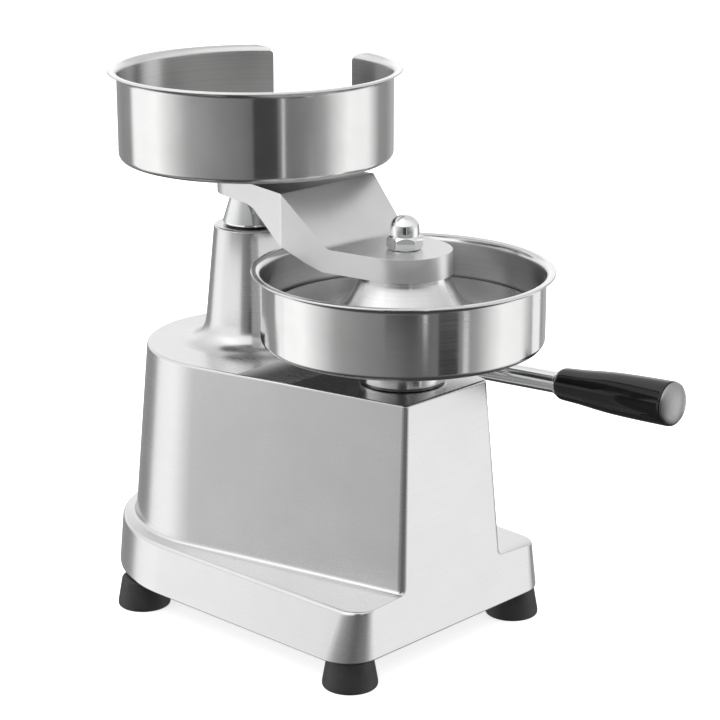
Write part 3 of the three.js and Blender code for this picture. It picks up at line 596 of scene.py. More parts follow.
def casting_mesh():
    """The casting as one closed skin, outside up and inside down; each level has the radius
    of its rounded edge."""
    deck = teardrop(**BODY_TOP, z=DECK_Z)
    angles = [math.atan2(p.y, p.x - COLUMN_X) for p in deck]

    def circle(radius, z):
        return [Vector((COLUMN_X + radius * math.cos(a), radius * math.sin(a), z)) for a in angles]

    ceiling = DECK_Z - WALL
    plinth_ceiling = PLINTH_TOP_Z - WALL
    levels = [
        (inner_teardrop(PLINTH_FOOT, PLINTH_FOOT_Z), 0.8),
        (teardrop(**PLINTH_FOOT, z=PLINTH_FOOT_Z), 1.4),
        (teardrop(**PLINTH_TOP, z=PLINTH_TOP_Z), 2.4),
        (teardrop(**BODY_FOOT, z=BODY_FOOT_Z), 3.5),
        (deck, 1.5),
        (circle(COLUMN_FOOT_R, DECK_Z), 14),
        (circle(COLUMN_TOP_R, COLUMN_TOP_Z), 1.3),
        (circle(COLUMN_BORE_R, COLUMN_TOP_Z), 0.5),
        (circle(COLUMN_BORE_R, COLUMN_BOSS_Z), 0.5),
        (circle(COLUMN_BOSS_R, COLUMN_BOSS_Z), 1),
        (circle(COLUMN_BOSS_R, ceiling), 2),
        (inner_teardrop(BODY_TOP, ceiling), 3),
        (inner_teardrop(BODY_FOOT, plinth_ceiling), 2),
        (inner_teardrop(PLINTH_TOP, plinth_ceiling), 3),
    ]
    rings = []
    for k, (ring, radius) in enumerate(levels):
        before = levels[k - 1][0]
        after = levels[(k + 1) % len(levels)][0]
        for step in range(EDGE_STEPS + 1):
            t = step / EDGE_STEPS
            level = []
            for p, a, b in zip(ring, before, after):
                start = p + (a - p).normalized() * min(radius, 0.45 * (a - p).length)
                end = p + (b - p).normalized() * min(radius, 0.45 * (b - p).length)
                level.append(start * (1 - t) ** 2 + p * 2 * t * (1 - t) + end * t ** 2)
            rings.append(level)
    count = len(deck)
    points = [p for ring in rings for p in ring]
    faces = []
    for k in range(len(rings)):
        lower, upper = k * count, (k + 1) % len(rings) * count
        for i in range(count):
            n = (i + 1) % count
            faces.append((lower + i, lower + n, upper + n, upper + i))
    return mesh_from(points, faces, "body_casting")


def body_casting():
    """The skin with the cross shaft's two bosses, the pads over the feet and the bores."""
    shaft_line = shifted(SHAFT_X, 0, SHAFT_Z) @ ALONG_Y
    lever_boss = lathe_mesh([(0, 44), (18, 44), (23.5, 53), (18.6, 60, 6), (16.8, 70), (16.5, 84, 1.5),
                             (0, 84)])
    far_boss = lathe_mesh([(0, -51), (15, -51), (15, -34, 1), (0, -34)])
    pads = [(rod_mesh(7, 19, 24, 32), Matrix.Translation(axis_of(node) - MOULD)) for node in FEET]
    solids = gathered([(lever_boss, shaft_line), (far_boss, shaft_line), *pads])
    bush_hole_r = SHAFT_BUSH_R + GAP
    bores = gathered([
        (rod_mesh(NECK_STEM_R + GAP, DECK_Z - 9, DECK_Z + 4), Matrix()),
        (rod_mesh(bush_hole_r, 40, 90), shaft_line),
        (rod_mesh(bush_hole_r, -47, -30), shaft_line),
    ])
    mesh = combined(casting_mesh(), "UNION", (solids, Matrix()))
    mesh = combined(mesh, "DIFFERENCE", (bores, Matrix()))
    fine_piece("body_casting", mesh, upright_at(MOULD), sharp=28)


body_casting()


# --- feet ---

FOOT_R = 15
RECESS_R, RECESS_Z = 7.5, 7
FOOT_SCREW_R = 2.9
FOOT_SCREW_HEAD_R = 5.8

for node in FEET:
    high = heights(node)[1]
    hole = FOOT_SCREW_R + GAP
    upright_turned(node, [
        (hole, RECESS_Z, 0.3), (RECESS_R, RECESS_Z, 0.5), (RECESS_R, 0, 1), (FOOT_R, 0, 1.3),
        (FOOT_R, 2.2, 1.2), (12.4, high, 1), (hole, high, 0.3),
    ], axis_of(node), 72)
for node in FOOT_SCREWS:
    upright_turned(node, [
        (0, 3), (FOOT_SCREW_HEAD_R, 3, 0.6), (FOOT_SCREW_HEAD_R, 6.7, 0.3), (FOOT_SCREW_R, 6.7),
        (FOOT_SCREW_R, 26, 0.4), (0, 26),
    ], axis_of(node), 40)


# --- bowls ---

SHEET = 1.2
FLOOR_SHEET = 1.5
RIM_REACH = 5
RIM_THICKNESS = 0.8
LIP_ROLL = 3.4
LIP_DROP = 0.25
# The dispenser's window, in degrees round the bowl and as a height above its floor
WINDOW_FIRST, WINDOW_LAST = 89.3, 128.6
WINDOW_SILL = 5.5


def bowl_profile(rim_radius, floor, rim, hole):
    """A pressed bowl: flat floor, round lower corner, straight wall, lip rolled outward."""
    wall = rim_radius - RIM_REACH
    inner_wall = wall - SHEET
    lip_foot = rim - LIP_ROLL - LIP_DROP
    turns = [math.radians(degrees) for degrees in (15, 30, 45, 60, 75, 90)]
    lip = [(wall + LIP_ROLL * (1 - math.cos(t)), lip_foot + LIP_ROLL * math.sin(t)) for t in turns]
    outer = [(hole, floor), (wall, floor, 3.6), (wall, lip_foot - RIM_THICKNESS)]
    under = [(x, z - RIM_THICKNESS) for x, z in lip]
    end = [
        (rim_radius - 0.4, rim - LIP_DROP - RIM_THICKNESS, 0.4),
        (rim_radius, rim - 0.75 - RIM_THICKNESS / 2, 0.5),
        (rim_radius - 0.3, rim - 0.2, 0.5),
    ]
    over = [(max(x - 0.5, inner_wall), z + LIP_DROP) for x, z in reversed(lip)]
    inner = [(inner_wall, rim - LIP_ROLL - 1), (inner_wall, floor + FLOOR_SHEET, 3.4),
             (hole, floor + FLOOR_SHEET)]
    return outer + under + end + over + inner


def mould_bowl():
    node = "mould_bowl"
    upright_turned(node, bowl_profile(half_width(node), *heights(node), 6.8), MOULD, 160)


def dispenser_bowl():
    node = "dispenser_bowl"
    rim_radius = half_width(node)
    wall = rim_radius - RIM_REACH
    floor, rim = heights(node)
    profile = bowl_profile(rim_radius, floor, rim, 1)
    plug = [(0, floor), *profile[1:-1], (0, floor + FLOOR_SHEET)]
    # The window's outline is laid out flat, by length round the wall and by height.
    first, last = (math.radians(degrees) * wall for degrees in (WINDOW_FIRST, WINDOW_LAST))
    sill = floor + WINDOW_SILL
    outline = soften([
        (first, sill, 5), (last, sill, 5), (last, rim - 1.5, 5.5), (last + 9, rim - 0.4),
        (last + 9, rim + 6), (first - 9, rim + 6), (first - 9, rim - 0.4), (first, rim - 1.5, 5.5),
    ], closed=True, steps=8)
    dense = []
    for a, b in zip(outline, outline[1:] + outline[:1]):
        pieces = max(1, int((b - a).length / 2.5))
        dense += [a.lerp(b, k / pieces) for k in range(pieces)]
    points = [(radius * math.cos(p.x / wall), radius * math.sin(p.x / wall), p.y)
              for radius in (wall - 9, rim_radius + 3) for p in dense]
    count = len(dense)
    faces = [(k, (k + 1) % count, (k + 1) % count + count, k + count) for k in range(count)]
    faces += [tuple(range(count)), tuple(range(2 * count - 1, count - 1, -1))]
    window = mesh_from(points, faces, "window")
    split_end_caps(window)
    mesh = combined(lathe_mesh(plug, node, 160), "DIFFERENCE", (window, Matrix()))
    fine_piece(node, mesh, upright_at(DISPENSER), sharp=40)


mould_bowl()
dispenser_bowl()

NECK_R = 23.8
NECK_BORE_R = EJECTOR_ROD_R + GAP

low, high = heights("mould_neck")
foot = DECK_Z + GAP
upright_turned("mould_neck", [
    (NECK_BORE_R, low), (NECK_STEM_R, low, 0.6), (NECK_STEM_R, foot, 0.3), (NECK_R - 0.6, foot, 0.8),
    (NECK_R, DECK_Z + 2.2, 0.8), (NECK_R, high - 1.2, 0.8), (NECK_R - 1, high, 0.4), (NECK_BORE_R, high),
], MOULD, 128, "polished_neck")


# --- ejector ---

EJECTOR_R = 73.9
EJECTOR_HOLE_R = 2.8
EJECTOR_SCREW_R = 2.4
SUNK_HEAD = 2.4
SOCKET_R, SOCKET_DEPTH = 2.2, 1.6

low, plate_top = heights("ejector_plate")
upright_turned("ejector_plate", [
    (EJECTOR_HOLE_R, low), (EJECTOR_R, low, 0.8), (EJECTOR_R, plate_top, 0.5), (5.4, plate_top, 0.2),
    (EJECTOR_HOLE_R, plate_top - SUNK_HEAD),
], MOULD, 128)
low, high = heights("ejector_rod")
upright_turned("ejector_rod", [
    (0, low), (EJECTOR_ROD_R, low, 0.8), (EJECTOR_ROD_R, high, 0.4), (EJECTOR_HOLE_R, high),
    (EJECTOR_HOLE_R, 159), (0, 159),
], MOULD)
upright_turned("ejector_screw", [
    (0, 160), (EJECTOR_SCREW_R, 160, 0.4), (EJECTOR_SCREW_R, plate_top - SUNK_HEAD, 0.2),
    (5, plate_top, 0.2), (SOCKET_R, plate_top), (SOCKET_R, plate_top - SOCKET_DEPTH),
    (0, plate_top - SOCKET_DEPTH),
], MOULD, 48)


# --- press plate, stud and cap nut ---

PLATE_THICKNESS = 4.5
PLATE_HUB_TOP_R = 24
STUD_HOLE_R = STUD_R + GAP
CAP_NUT_FLATS = 17
CAP_NUT_HEX_HEIGHT = 7
CAP_NUT_DOME_R = 7.9
# Degrees: the nut's flats aren't square to the arm.
CAP_NUT_TURN = 47


def press_plate():
    low, high = heights("press_plate")
    rim = half_width("press_plate")
    flat = low + PLATE_THICKNESS
    hub = smooth_curve([
        (42, flat + 0.3), (37, flat + 1), (33.4, flat + 3.4), (30.7, flat + 6.4), (26.9, flat + 12.4),
        (24.7, flat + 17.2), (PLATE_HUB_TOP_R, high),
    ])
    upright_turned("press_plate", [
        (0, low), (rim, low, 0.8), (rim, flat, 0.9), (46, flat), (45, flat + 0.35), *hub[:-1],
        (PLATE_HUB_TOP_R, high, 0.5), (STUD_HOLE_R, high), (STUD_HOLE_R, flat), (0, flat),
    ], STUD, 160, "turned_aluminium")


def cap_nut():
    low, high = heights("cap_nut")
    hex_top = low + CAP_NUT_HEX_HEIGHT
    corner_r = CAP_NUT_FLATS / math.sqrt(3)
    turns = [math.radians(CAP_NUT_TURN + 60 * k) for k in range(6)]
    corners = [(corner_r * math.cos(turn), corner_r * math.sin(turn), 0.6) for turn in turns]
    hexagon = soften(corners, True, 4)
    chamfers = lathe_mesh([(0, low), (8.6, low), (9.9, low + 1.5), (9.9, low + 5.1), (8.2, hex_top),
                           (0, hex_top)], segments=144)
    mesh = combined(prism_mesh(hexagon, low, hex_top), "INTERSECT", (chamfers, Matrix()))
    dome = smooth_curve([(CAP_NUT_DOME_R, low + 10.2), (7.35, low + 13.1), (5.95, low + 15.6),
                         (3.6, low + 17.3), (0.001, high)], 5)
    dome_mesh = lathe_mesh([(0, low + 6), (CAP_NUT_DOME_R, low + 6), *dome[:-1], (0, high)])
    mesh = combined(mesh, "UNION", (dome_mesh, Matrix()))
    bore = rod_mesh(STUD_HOLE_R, low - 5, low + 14)
    mesh = combined(mesh, "DIFFERENCE", (bore, Matrix()))
    fine_piece("cap_nut", mesh, upright_at(STUD), sharp=24)


press_plate()
low, high = heights("press_stud")
upright_turned("press_stud", [(0, low), (STUD_R, low, 0.5), (STUD_R, high, 0.5), (0, high)], STUD, 48)
cap_nut()


# --- press arm ---

TONGUE_UNDER_Z, ARM_TOP_Z = heights("press_arm")
ARM_UNDER_Z = 236.5
TONGUE_TOP_Z = 222
ARM_FRONT_R = 25.5
ARM_REAR_X, ARM_REAR_R = -108, 25
# Where the straight sides of the tongue and of the platform would meet, seen from above
ARM_CORNER_X, ARM_CORNER_Y = -56, 36


def press_arm():
    def touch_angle(centre_x, radius):
        """Where a side from the arm's corner touches one of its round ends."""
        reach = Vector((ARM_CORNER_X - centre_x, ARM_CORNER_Y))
        turn = math.acos(radius / reach.length)
        return math.atan2(reach.y, reach.x) + (turn if centre_x < ARM_CORNER_X else -turn)

    front = touch_angle(STUD_X, ARM_FRONT_R)
    rear = touch_angle(ARM_REAR_X, ARM_REAR_R)
    front_arc = arc((STUD_X, 0), ARM_FRONT_R, -front, front, 56)
    rear_arc = arc((ARM_REAR_X, 0), ARM_REAR_R, rear, 2 * math.pi - rear, 40)
    bend = soften([front_arc[-1], (ARM_CORNER_X, ARM_CORNER_Y, 4), rear_arc[0]], False)[1:-1]
    plan = [*front_arc, *bend, *rear_arc, *[(x, -y) for x, y in reversed(bend)]]
    side = soften([
        (-140, ARM_UNDER_Z), (-90, ARM_UNDER_Z, 4), (-83, 235.2, 4), (-59, 220.7, 6), (-40, 212.4, 6),
        (-29.5, TONGUE_UNDER_Z, 4), (40, TONGUE_UNDER_Z), (40, TONGUE_TOP_Z), (-27, TONGUE_TOP_Z, 8),
        (ARM_CORNER_X, ARM_TOP_Z, 1.2), (-140, ARM_TOP_Z),
    ], True)
    upright = prism_mesh(side, -45, 45)
    upright.transform(Matrix.Rotation(math.pi / 2, 4, "X"))
    mesh = combined(upright, "INTERSECT", (prism_mesh(plan, 200, 260), Matrix()))
    holes = gathered([
        (rod_mesh(POST_TOP_R + GAP, 230, 260), shifted(COLUMN_X)),
        (rod_mesh(STUD_HOLE_R, 200, 230), shifted(STUD_X)),
    ])
    mesh = combined(mesh, "DIFFERENCE", (holes, Matrix()))
    fine_piece("press_arm", mesh, upright_at(MOULD), bevel=0.9)


press_arm()


# --- post, cone and dispenser fastenings ---

BUSH_R = COLUMN_BORE_R - GAP
BUSH_BORE_R = POST_R + GAP
CONE_BORE_R = POST_TOP_R + GAP
CONE_FOOT_R, CONE_TOP_R = 16.1, 10.6
ARM_SCREW_R = 3.9
POST_HOLE_R, POST_HOLE_FOOT = ARM_SCREW_R + GAP, 225
ARM_SCREW_HEAD_R, ARM_SCREW_HEAD = 7.4, 4.3
SPACER_R = 24
SMALL_SCREW_R = 2

low, high = heights("guide_post")
shoulder = COLUMN_TOP_Z + 0.7
upright_turned("guide_post", [
    (0, low), (POST_R, low, 1), (POST_R, shoulder, 0.5), (POST_TOP_R, shoulder), (POST_TOP_R, high, 0.5),
    (POST_HOLE_R, high), (POST_HOLE_R, POST_HOLE_FOOT), (0, POST_HOLE_FOOT),
], COLUMN, 96)
low, high = heights("post_cone")
upright_turned("post_cone", [
    (CONE_BORE_R, low), (CONE_FOOT_R, low, 0.4), (CONE_FOOT_R, low + 1.2, 0.5), (CONE_TOP_R, high, 0.4),
    (CONE_BORE_R, high),
], COLUMN, 128)
# The upper bush ends below the top of the column.
for node, sunk in (("column_bush_lower", 0), ("column_bush_upper", 2.5)):
    low, high = heights(node)
    upright_turned(node, [
        (BUSH_BORE_R, low, 0.4), (BUSH_R, low, 0.3), (BUSH_R, high - sunk, 0.3),
        (BUSH_BORE_R, high - sunk, 0.6),
    ], COLUMN, 96)
low, high = heights("arm_washer")
upright_turned("arm_washer", [(4.4, low, 0.2), (10, low, 0.3), (10, high, 0.4), (4.4, high, 0.2)], COLUMN)
low, high = heights("arm_screw")
head = high - ARM_SCREW_HEAD
upright_turned("arm_screw", [
    (0, low), (ARM_SCREW_R, low, 0.5), (ARM_SCREW_R, head), (ARM_SCREW_HEAD_R, head, 0.3),
    (ARM_SCREW_HEAD_R, high, 0.6), (3.4, high, 0.2), (3.2, high - 2.8), (0, high - 2.8),
], COLUMN)


def dispenser_spacer():
    low, high = heights("dispenser_spacer")
    disc = lathe_mesh([(0, low), (SPACER_R, low, 0.5), (SPACER_R, high, 0.5), (0, high)])
    hole = rod_mesh(10.6, low - 5, high + 5)
    mesh = combined(disc, "DIFFERENCE", (hole, shifted(COLUMN_X - DISPENSER_X)))
    fine_piece("dispenser_spacer", mesh, upright_at(DISPENSER))


dispenser_spacer()
for node in nodes_named("dispenser_screw"):
    low, high = heights(node)
    upright_turned(node, [
        (0, low), (SMALL_SCREW_R, low, 0.3), (SMALL_SCREW_R, high - 2.2), (3.9, high - 2.2, 0.3),
        (3.5, high - 0.7, 0.6), (1.9, high), (1.8, high - 1.3), (0, high - 1.3),
    ], axis_of(node), 40)
for node in nodes_named("bowl_screw"):
    low, high = heights(node)
    upright_turned(node, [
        (0, low), (SMALL_SCREW_R, low, 0.3), (SMALL_SCREW_R, high - 1.2), (3.8, high - 1.2, 0.2),
        (3.2, high, 0.4), (0, high),
    ], axis_of(node), 40)


# --- shaft, lever and grip ---

# Places along the cross shaft
SHAFT_ENDS = -45, 109
HUB_LOW, HUB_HIGH = 86.5, 109.5
RING_LOW, RING_HIGH = 42, 43.6
OUTER_BUSH_LOW, FLANGE_LOW, FLANGE_HIGH = 44, 84.3, 86
INNER_BUSH_LOW, INNER_BUSH_HIGH = -46.6, -34
# Places along the lever
ROD_ENDS = 12.2, 150
GRIP_START, GRIP_END = 90.5, 166.2
CAP_STEM_FOOT, CAP_END = 158, 170.2

HUB_R = 14.5
SHAFT_HOLE_R = SHAFT_R + GAP
ROD_HOLE_R = ROD_R + GAP
FERRULE_R = 7.4
CAP_R = 12
CAP_STEM_R = 5

low, high = SHAFT_ENDS
turned_piece("cross_shaft", [(0, low), (SHAFT_R, low, 0.8), (SHAFT_R, high, 0.8), (0, high)],
             along_shaft(), 72)
turned_piece("shaft_ring", [
    (SHAFT_HOLE_R, RING_LOW, 0.2), (12, RING_LOW, 0.3), (12, RING_HIGH, 0.3),
    (SHAFT_HOLE_R, RING_HIGH, 0.2),
], along_shaft(), 72)
turned_piece("shaft_bush_outer", [
    (SHAFT_HOLE_R, OUTER_BUSH_LOW), (SHAFT_BUSH_R, OUTER_BUSH_LOW), (SHAFT_BUSH_R, FLANGE_LOW),
    (14, FLANGE_LOW, 0.3), (14, FLANGE_HIGH, 0.4), (SHAFT_HOLE_R, FLANGE_HIGH, 0.3),
], along_shaft(), 72)
turned_piece("shaft_bush_inner", [
    (SHAFT_HOLE_R, INNER_BUSH_LOW, 0.2), (SHAFT_BUSH_R, INNER_BUSH_LOW, 0.2),
    (SHAFT_BUSH_R, INNER_BUSH_HIGH, 0.4), (SHAFT_HOLE_R, INNER_BUSH_HIGH, 0.4),
], along_shaft(), 72)


def lever_hub():
    lever_line, shaft_line = along_lever(), along_shaft()
    hub = lathe_mesh([(0, HUB_LOW), (HUB_R, HUB_LOW, 1.2), (HUB_R, HUB_HIGH, 1.2), (0, HUB_HIGH)])
    socket = lathe_mesh([(0, 4), (10.4, 4), (10.4, 13), (9.6, 16.5, 3), (9.4, 26, 0.9), (0, 26)],
                        segments=72)
    mesh = combined(gathered([(hub, shaft_line)]), "UNION", (socket, lever_line))
    bores = gathered([
        (rod_mesh(SHAFT_HOLE_R, 80, 120), shaft_line),
        (rod_mesh(ROD_HOLE_R, 12, 40), lever_line),
    ])
    mesh = combined(mesh, "DIFFERENCE", (bores, Matrix()))
    mesh.transform(shaft_line.inverted())
    fine_piece("lever_hub", mesh, shaft_line, sharp=30)


lever_hub()
low, high = ROD_ENDS
turned_piece("lever_rod", [(0, low), (ROD_R, low, 0.6), (ROD_R, high, 0.6), (0, high)], along_lever(), 72)
low, high = GRIP_START - 2, GRIP_START - GAP
turned_piece("grip_ferrule", [
    (ROD_HOLE_R, low, 0.2), (FERRULE_R, low, 0.5), (FERRULE_R, high, 0.3), (ROD_HOLE_R, high, 0.2),
], along_lever(), 72)
low, high = SHAFT_HOLE_R, 14.2
turned_piece("hub_set_screw", [
    (0, low), (3, low, 0.5), (3, high, 0.4), (1.7, high), (1.7, 11.4), (0, 11.4),
], opposite_lever(), 40)


def lever_grip():
    rod_hole_end = ROD_ENDS[1] + 0.4
    stem_hole_end = CAP_STEM_FOOT - GAP
    stem_hole_r = CAP_STEM_R + GAP
    swell = smooth_curve([
        (8.4, GRIP_START + 0.5), (8.95, GRIP_START + 1.5), (9.3, GRIP_START + 4), (9.9, 105), (10.95, 117),
        (11.75, 129), (12.2, 145), (12.35, 158), (12.4, 165.6),
    ], 5)
    turned_piece("lever_grip", [
        (0, rod_hole_end), (ROD_HOLE_R, rod_hole_end), (ROD_HOLE_R, GRIP_START), (7.9, GRIP_START), *swell,
        (12.2, GRIP_END, 0.2), (stem_hole_r, GRIP_END), (stem_hole_r, stem_hole_end), (0, stem_hole_end),
    ], along_lever(), 128)


def grip_cap():
    rim = GRIP_END + GAP
    dome = smooth_curve([(12.1, GRIP_END + 0.7), (11.2, 167.7), (9.2, 168.6), (6.4, 169.4), (3.2, 169.95),
                         (0.001, CAP_END)], 5)
    turned_piece("grip_cap", [
        (0, CAP_STEM_FOOT), (CAP_STEM_R, CAP_STEM_FOOT, 0.5), (CAP_STEM_R, rim), (CAP_R, rim, 0.3),
        *dome[:-1], (0, CAP_END),
    ], along_lever(), 128, "satin_cap")


lever_grip()
grip_cap()


# --- pieces inside the casting ---

for node, obj in frame["nodes"].items():
    if not obj.hide_render:
        obj.data.materials.clear()
        obj.data.materials.append(materials[slot_of_node[node]])
        edge = obj.modifiers.new("edge", "BEVEL")
        edge.width = 0.25 * MM
        edge.segments = 2
        edge.limit_method = "ANGLE"
        edge.angle_limit = math.radians(40)


# --- studio ---

CAMERA_AZIMUTH = math.radians(43.907)
CAMERA_ELEVATION = math.radians(17.131)
CAMERA_DISTANCE = 1.17498
LENS = 109.57
SENSOR = 36
AIM_HEIGHT = 0.172
AIM_LEFT = 0.02292
AIM_DOWN = 0.01153
PAPER_BRIGHTNESS = 1.05
FLOOR_HALF = 6
FLOOR_Z = -0.0002

# Brightness of the studio round the object, by degrees to the right of the camera: straight
# down, below the horizon, just above it and overhead.
FLOOR_BANDS = [(-180, 0.06), (180, 0.06)]
LOW_BANDS = [
    (-180, 0.42), (-140, 0.30), (-124, 0.34), (-118, 1.2), (-88, 1.28), (-66, 0.70), (-57, 0.46),
    (-50, 0.38), (-30, 0.28), (-8, 0.21), (4, 0.14), (18, 0.15), (28, 0.20), (48, 0.27), (60, 0.42),
    (72, 0.85), (84, 1.18), (108, 1.12), (117, 0.7), (126, 0.34), (140, 0.32), (158, 0.5), (180, 0.42),
]
MIDDLE_BANDS = [
    (-180, 1.2), (-120, 1.0), (-85, 1.0), (-64, 0.82), (-50, 0.60), (-35, 0.40), (-15, 0.20), (2, 0.10),
    (16, 0.14), (36, 0.34), (56, 0.62), (76, 0.88), (95, 0.88), (120, 0.72), (180, 1.2),
]
TOP_BANDS = [
    (-180, 0.75), (-100, 1.15), (-63, 1.6), (-30, 1.3), (0, 1.1), (60, 1.0), (117, 0.74), (180, 0.75),
]
# How far up a direction points, as the sine of its elevation, where each set of bands fades in
# over the one below it
BAND_EDGES = ((LOW_BANDS, -0.75, -0.45), (MIDDLE_BANDS, -0.12, 0.16), (TOP_BANDS, 0.30, 0.46))


def studio_world():
    """The studio's bands for every ray but the camera's own, which sees plain white paper."""
    world = bpy.data.worlds.new("studio")
    bpy.context.scene.world = world
    world.use_nodes = True
    tree = world.node_tree
    tree.nodes.clear()

    def node(kind, **settings):
        made = tree.nodes.new(kind)
        for key, value in settings.items():
            setattr(made, key, value)
        return made

    def ramp(bands, share):
        made = node("ShaderNodeValToRGB")
        stops = made.color_ramp.elements
        while len(stops) > 1:
            stops.remove(stops[-1])
        for i, (degrees, brightness) in enumerate(bands):
            place = (degrees + 180) / 360
            stop = stops[0] if i == 0 else stops.new(place)
            stop.position = place
            stop.color = (brightness, brightness, brightness, 1)
        tree.links.new(share, made.inputs["Fac"])
        return made.outputs["Color"]

    direction = node("ShaderNodeTexCoord").outputs["Generated"]
    turn = node("ShaderNodeVectorRotate", rotation_type="Z_AXIS")
    turn.inputs["Angle"].default_value = -CAMERA_AZIMUTH
    tree.links.new(direction, turn.inputs["Vector"])
    split = node("ShaderNodeSeparateXYZ")
    tree.links.new(turn.outputs["Vector"], split.inputs["Vector"])
    flip = node("ShaderNodeMath", operation="MULTIPLY")
    flip.inputs[1].default_value = -1
    tree.links.new(split.outputs["Y"], flip.inputs[0])
    azimuth = node("ShaderNodeMath", operation="ARCTAN2")
    tree.links.new(split.outputs["X"], azimuth.inputs[0])
    tree.links.new(flip.outputs["Value"], azimuth.inputs[1])
    share = node("ShaderNodeMapRange")
    share.inputs["From Min"].default_value = -math.pi
    share.inputs["From Max"].default_value = math.pi
    tree.links.new(azimuth.outputs["Value"], share.inputs["Value"])
    colour = ramp(FLOOR_BANDS, share.outputs["Result"])
    for bands, low, high in BAND_EDGES:
        rise = node("ShaderNodeMapRange", interpolation_type="SMOOTHSTEP")
        rise.inputs["From Min"].default_value = low
        rise.inputs["From Max"].default_value = high
        tree.links.new(split.outputs["Z"], rise.inputs["Value"])
        blend = node("ShaderNodeMix", data_type="RGBA")
        tree.links.new(rise.outputs["Result"], blend.inputs[0])
        tree.links.new(colour, blend.inputs[6])
        tree.links.new(ramp(bands, share.outputs["Result"]), blend.inputs[7])
        colour = blend.outputs[2]
    studio = node("ShaderNodeBackground")
    tree.links.new(colour, studio.inputs["Color"])
    paper = node("ShaderNodeBackground")
    paper.inputs["Color"].default_value = (1, 1, 1, 1)
    paper.inputs["Strength"].default_value = PAPER_BRIGHTNESS
    path = node("ShaderNodeLightPath")
    choose = node("ShaderNodeMixShader")
    tree.links.new(path.outputs["Is Camera Ray"], choose.inputs["Fac"])
    tree.links.new(studio.outputs["Background"], choose.inputs[1])
    tree.links.new(paper.outputs["Background"], choose.inputs[2])
    output = node("ShaderNodeOutputWorld")
    tree.links.new(choose.outputs["Shader"], output.inputs["Surface"])


def pale_floor():
    """A white floor that reflections don't see."""
    mesh = bpy.data.meshes.new("floor")
    corners = [(x * FLOOR_HALF, y * FLOOR_HALF, 0) for x, y in ((-1, -1), (1, -1), (1, 1), (-1, 1))]
    mesh.from_pydata(corners, [], [(0, 1, 2, 3)])
    floor = object_of(mesh, "floor", Matrix.Translation((0, 0, FLOOR_Z)))
    shader = Shader("pale_floor")
    shader.set(Base_Color=(0.9, 0.9, 0.9, 1), Roughness=0.9, Emission_Color=(1, 1, 1, 1),
               Emission_Strength=0.75)
    mesh.materials.append(shader.material)
    floor.visible_glossy = False


def card(name, centre, azimuth, distance, half_angle, low, high, brightness, fade=None):
    """An upright card that only reflections see, which paints a reflected highlight, or a reflected
    shade where it is dark, on the pieces that face it. It stands at some degrees to the right of the
    camera as seen from a point, twice half_angle wide there. fade gives a height over which it
    changes from another brightness at its lower edge."""
    turn = CAMERA_AZIMUTH + math.radians(azimuth)
    outward = Vector((math.sin(turn), -math.cos(turn), 0))
    sideways = Vector((math.cos(turn), math.sin(turn), 0))
    across = sideways * distance * math.tan(math.radians(half_angle))
    middle = Vector((centre.x, centre.y, 0)) + outward * distance
    corners = [middle - across, middle + across]
    points = [p + Vector((0, 0, z)) for z, row in ((low, corners), (high, corners[::-1])) for p in row]
    mesh = bpy.data.meshes.new(name)
    mesh.from_pydata(points, [], [(0, 1, 2, 3)])
    shader = Shader(name)
    shader.set(Base_Color=(0, 0, 0, 1), Roughness=1.0, Specular_IOR_Level=0.0,
               Emission_Color=(1, 1, 1, 1), Emission_Strength=brightness)
    if fade:
        height, lower_brightness = fade
        split = shader.node("ShaderNodeSeparateXYZ")
        shader.link(shader.coordinates((1, 1, 1)), split.inputs["Vector"])
        shader.link(shader.ranged(split.outputs["Z"], lower_brightness, brightness, low, low + height),
                    shader.surface.inputs["Emission Strength"])
    mesh.materials.append(shader.material)
    obj = object_of(mesh, name)
    obj.visible_camera = obj.visible_diffuse = obj.visible_shadow = False


def soft_light(name, position, target, side, power):
    """A square light that reflections don't see."""
    light = bpy.data.lights.new(name, "AREA")
    light.shape = "RECTANGLE"
    light.size = light.size_y = side
    light.energy = power
    place = Vector(position)
    turn = (Vector(target) - place).to_track_quat("-Z", "Y")
    obj = object_of(light, name, Matrix.Translation(place) @ turn.to_matrix().to_4x4())
    obj.visible_glossy = False


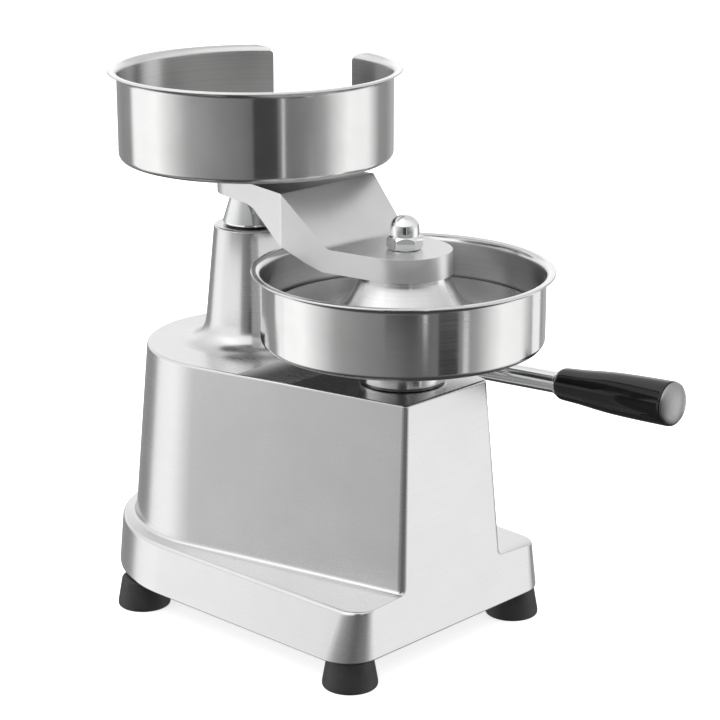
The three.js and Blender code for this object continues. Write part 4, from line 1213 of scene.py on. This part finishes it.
def camera():
    """Looks at a point near the mould's axis; back points from there to the camera."""
    level = math.cos(CAMERA_ELEVATION)
    back = Vector((math.sin(CAMERA_AZIMUTH) * level, -math.cos(CAMERA_AZIMUTH) * level,
                   math.sin(CAMERA_ELEVATION)))
    right = Vector((math.cos(CAMERA_AZIMUTH), math.sin(CAMERA_AZIMUTH), 0))
    up = back.cross(right)
    aim = Vector((MOULD.x, MOULD.y, AIM_HEIGHT)) - right * AIM_LEFT - up * AIM_DOWN
    data = bpy.data.cameras.new("camera")
    data.lens, data.sensor_width = LENS, SENSOR
    obj = object_of(data, "camera")
    obj.location = aim + back * CAMERA_DISTANCE
    obj.rotation_mode = "QUATERNION"
    obj.rotation_quaternion = (-back).to_track_quat("-Z", "Y")
    bpy.context.scene.camera = obj


studio_world()
pale_floor()
soft_light("overhead", position=(0.1, 0.1, 1.6), target=(0, 0, 0.15), side=1.4, power=9)
# Each card below paints a reflected highlight, or a reflected shade where it is dark, on the pieces near it.
# Name, the point a card is set round, degrees, distance, half angle, low, high and brightness
card("card_for_dispenser", DISPENSER, 9.5, 0.40, 9.0, 0.13, 0.32, 0.055)
card("strip_for_dispenser", DISPENSER, 22.6, 0.40, 1.1, 0.13, 0.32, 0.8)
card("card_for_mould", MOULD, 32, 0.42, 7.5, 0, 0.12, 0.045)
card("strip_for_mould", MOULD, 45.5, 0.42, 2.2, 0, 0.12, 0.75)
card("bright_card_for_mould", MOULD, 124, 0.42, 8, 0, 0.12, 1.1)
# Glowing cards a few centimetres from the column paint highlights and grey reflections on it.
card("card_for_column", COLUMN, -48, 0.10, 24, 0.15, 0.20, 1.1)
card("card_beside_column", COLUMN, 42, 0.034, 30, 0.160, 0.212, 0.9)
card("grey_card_beside_column", COLUMN, 8, 0.034, 7, 0.160, 0.212, 0.4)
# Dark sheets between the column and the mould bowl paint the shade under the bowl into the deck's reflections.
card("fading_painted_shade_under_mould", MOULD, -134, 0.073, 38, 0.149, 0.170, 0.04, (0.006, 0.5))
card("painted_shade_under_mould", MOULD, -134, 0.05, 42, 0.156, 0.170, 0.035)
# Glowing cards close to the press arm paint highlights and grey reflections on it.
card("card_for_arm", STUD, -61, 0.066, 24, 0.19, 0.214, 0.78)
card("card_for_arm_end", STUD, 5, 0.031, 42, 0.216, 0.226, 0.36)
card("card_for_arm_tip", STUD, 88, 0.068, 11, 0.19, 0.214, 1.3)
camera()
bpy.context.scene.view_settings.view_transform = "Standard"
bpy.context.scene.cycles.use_denoising = True
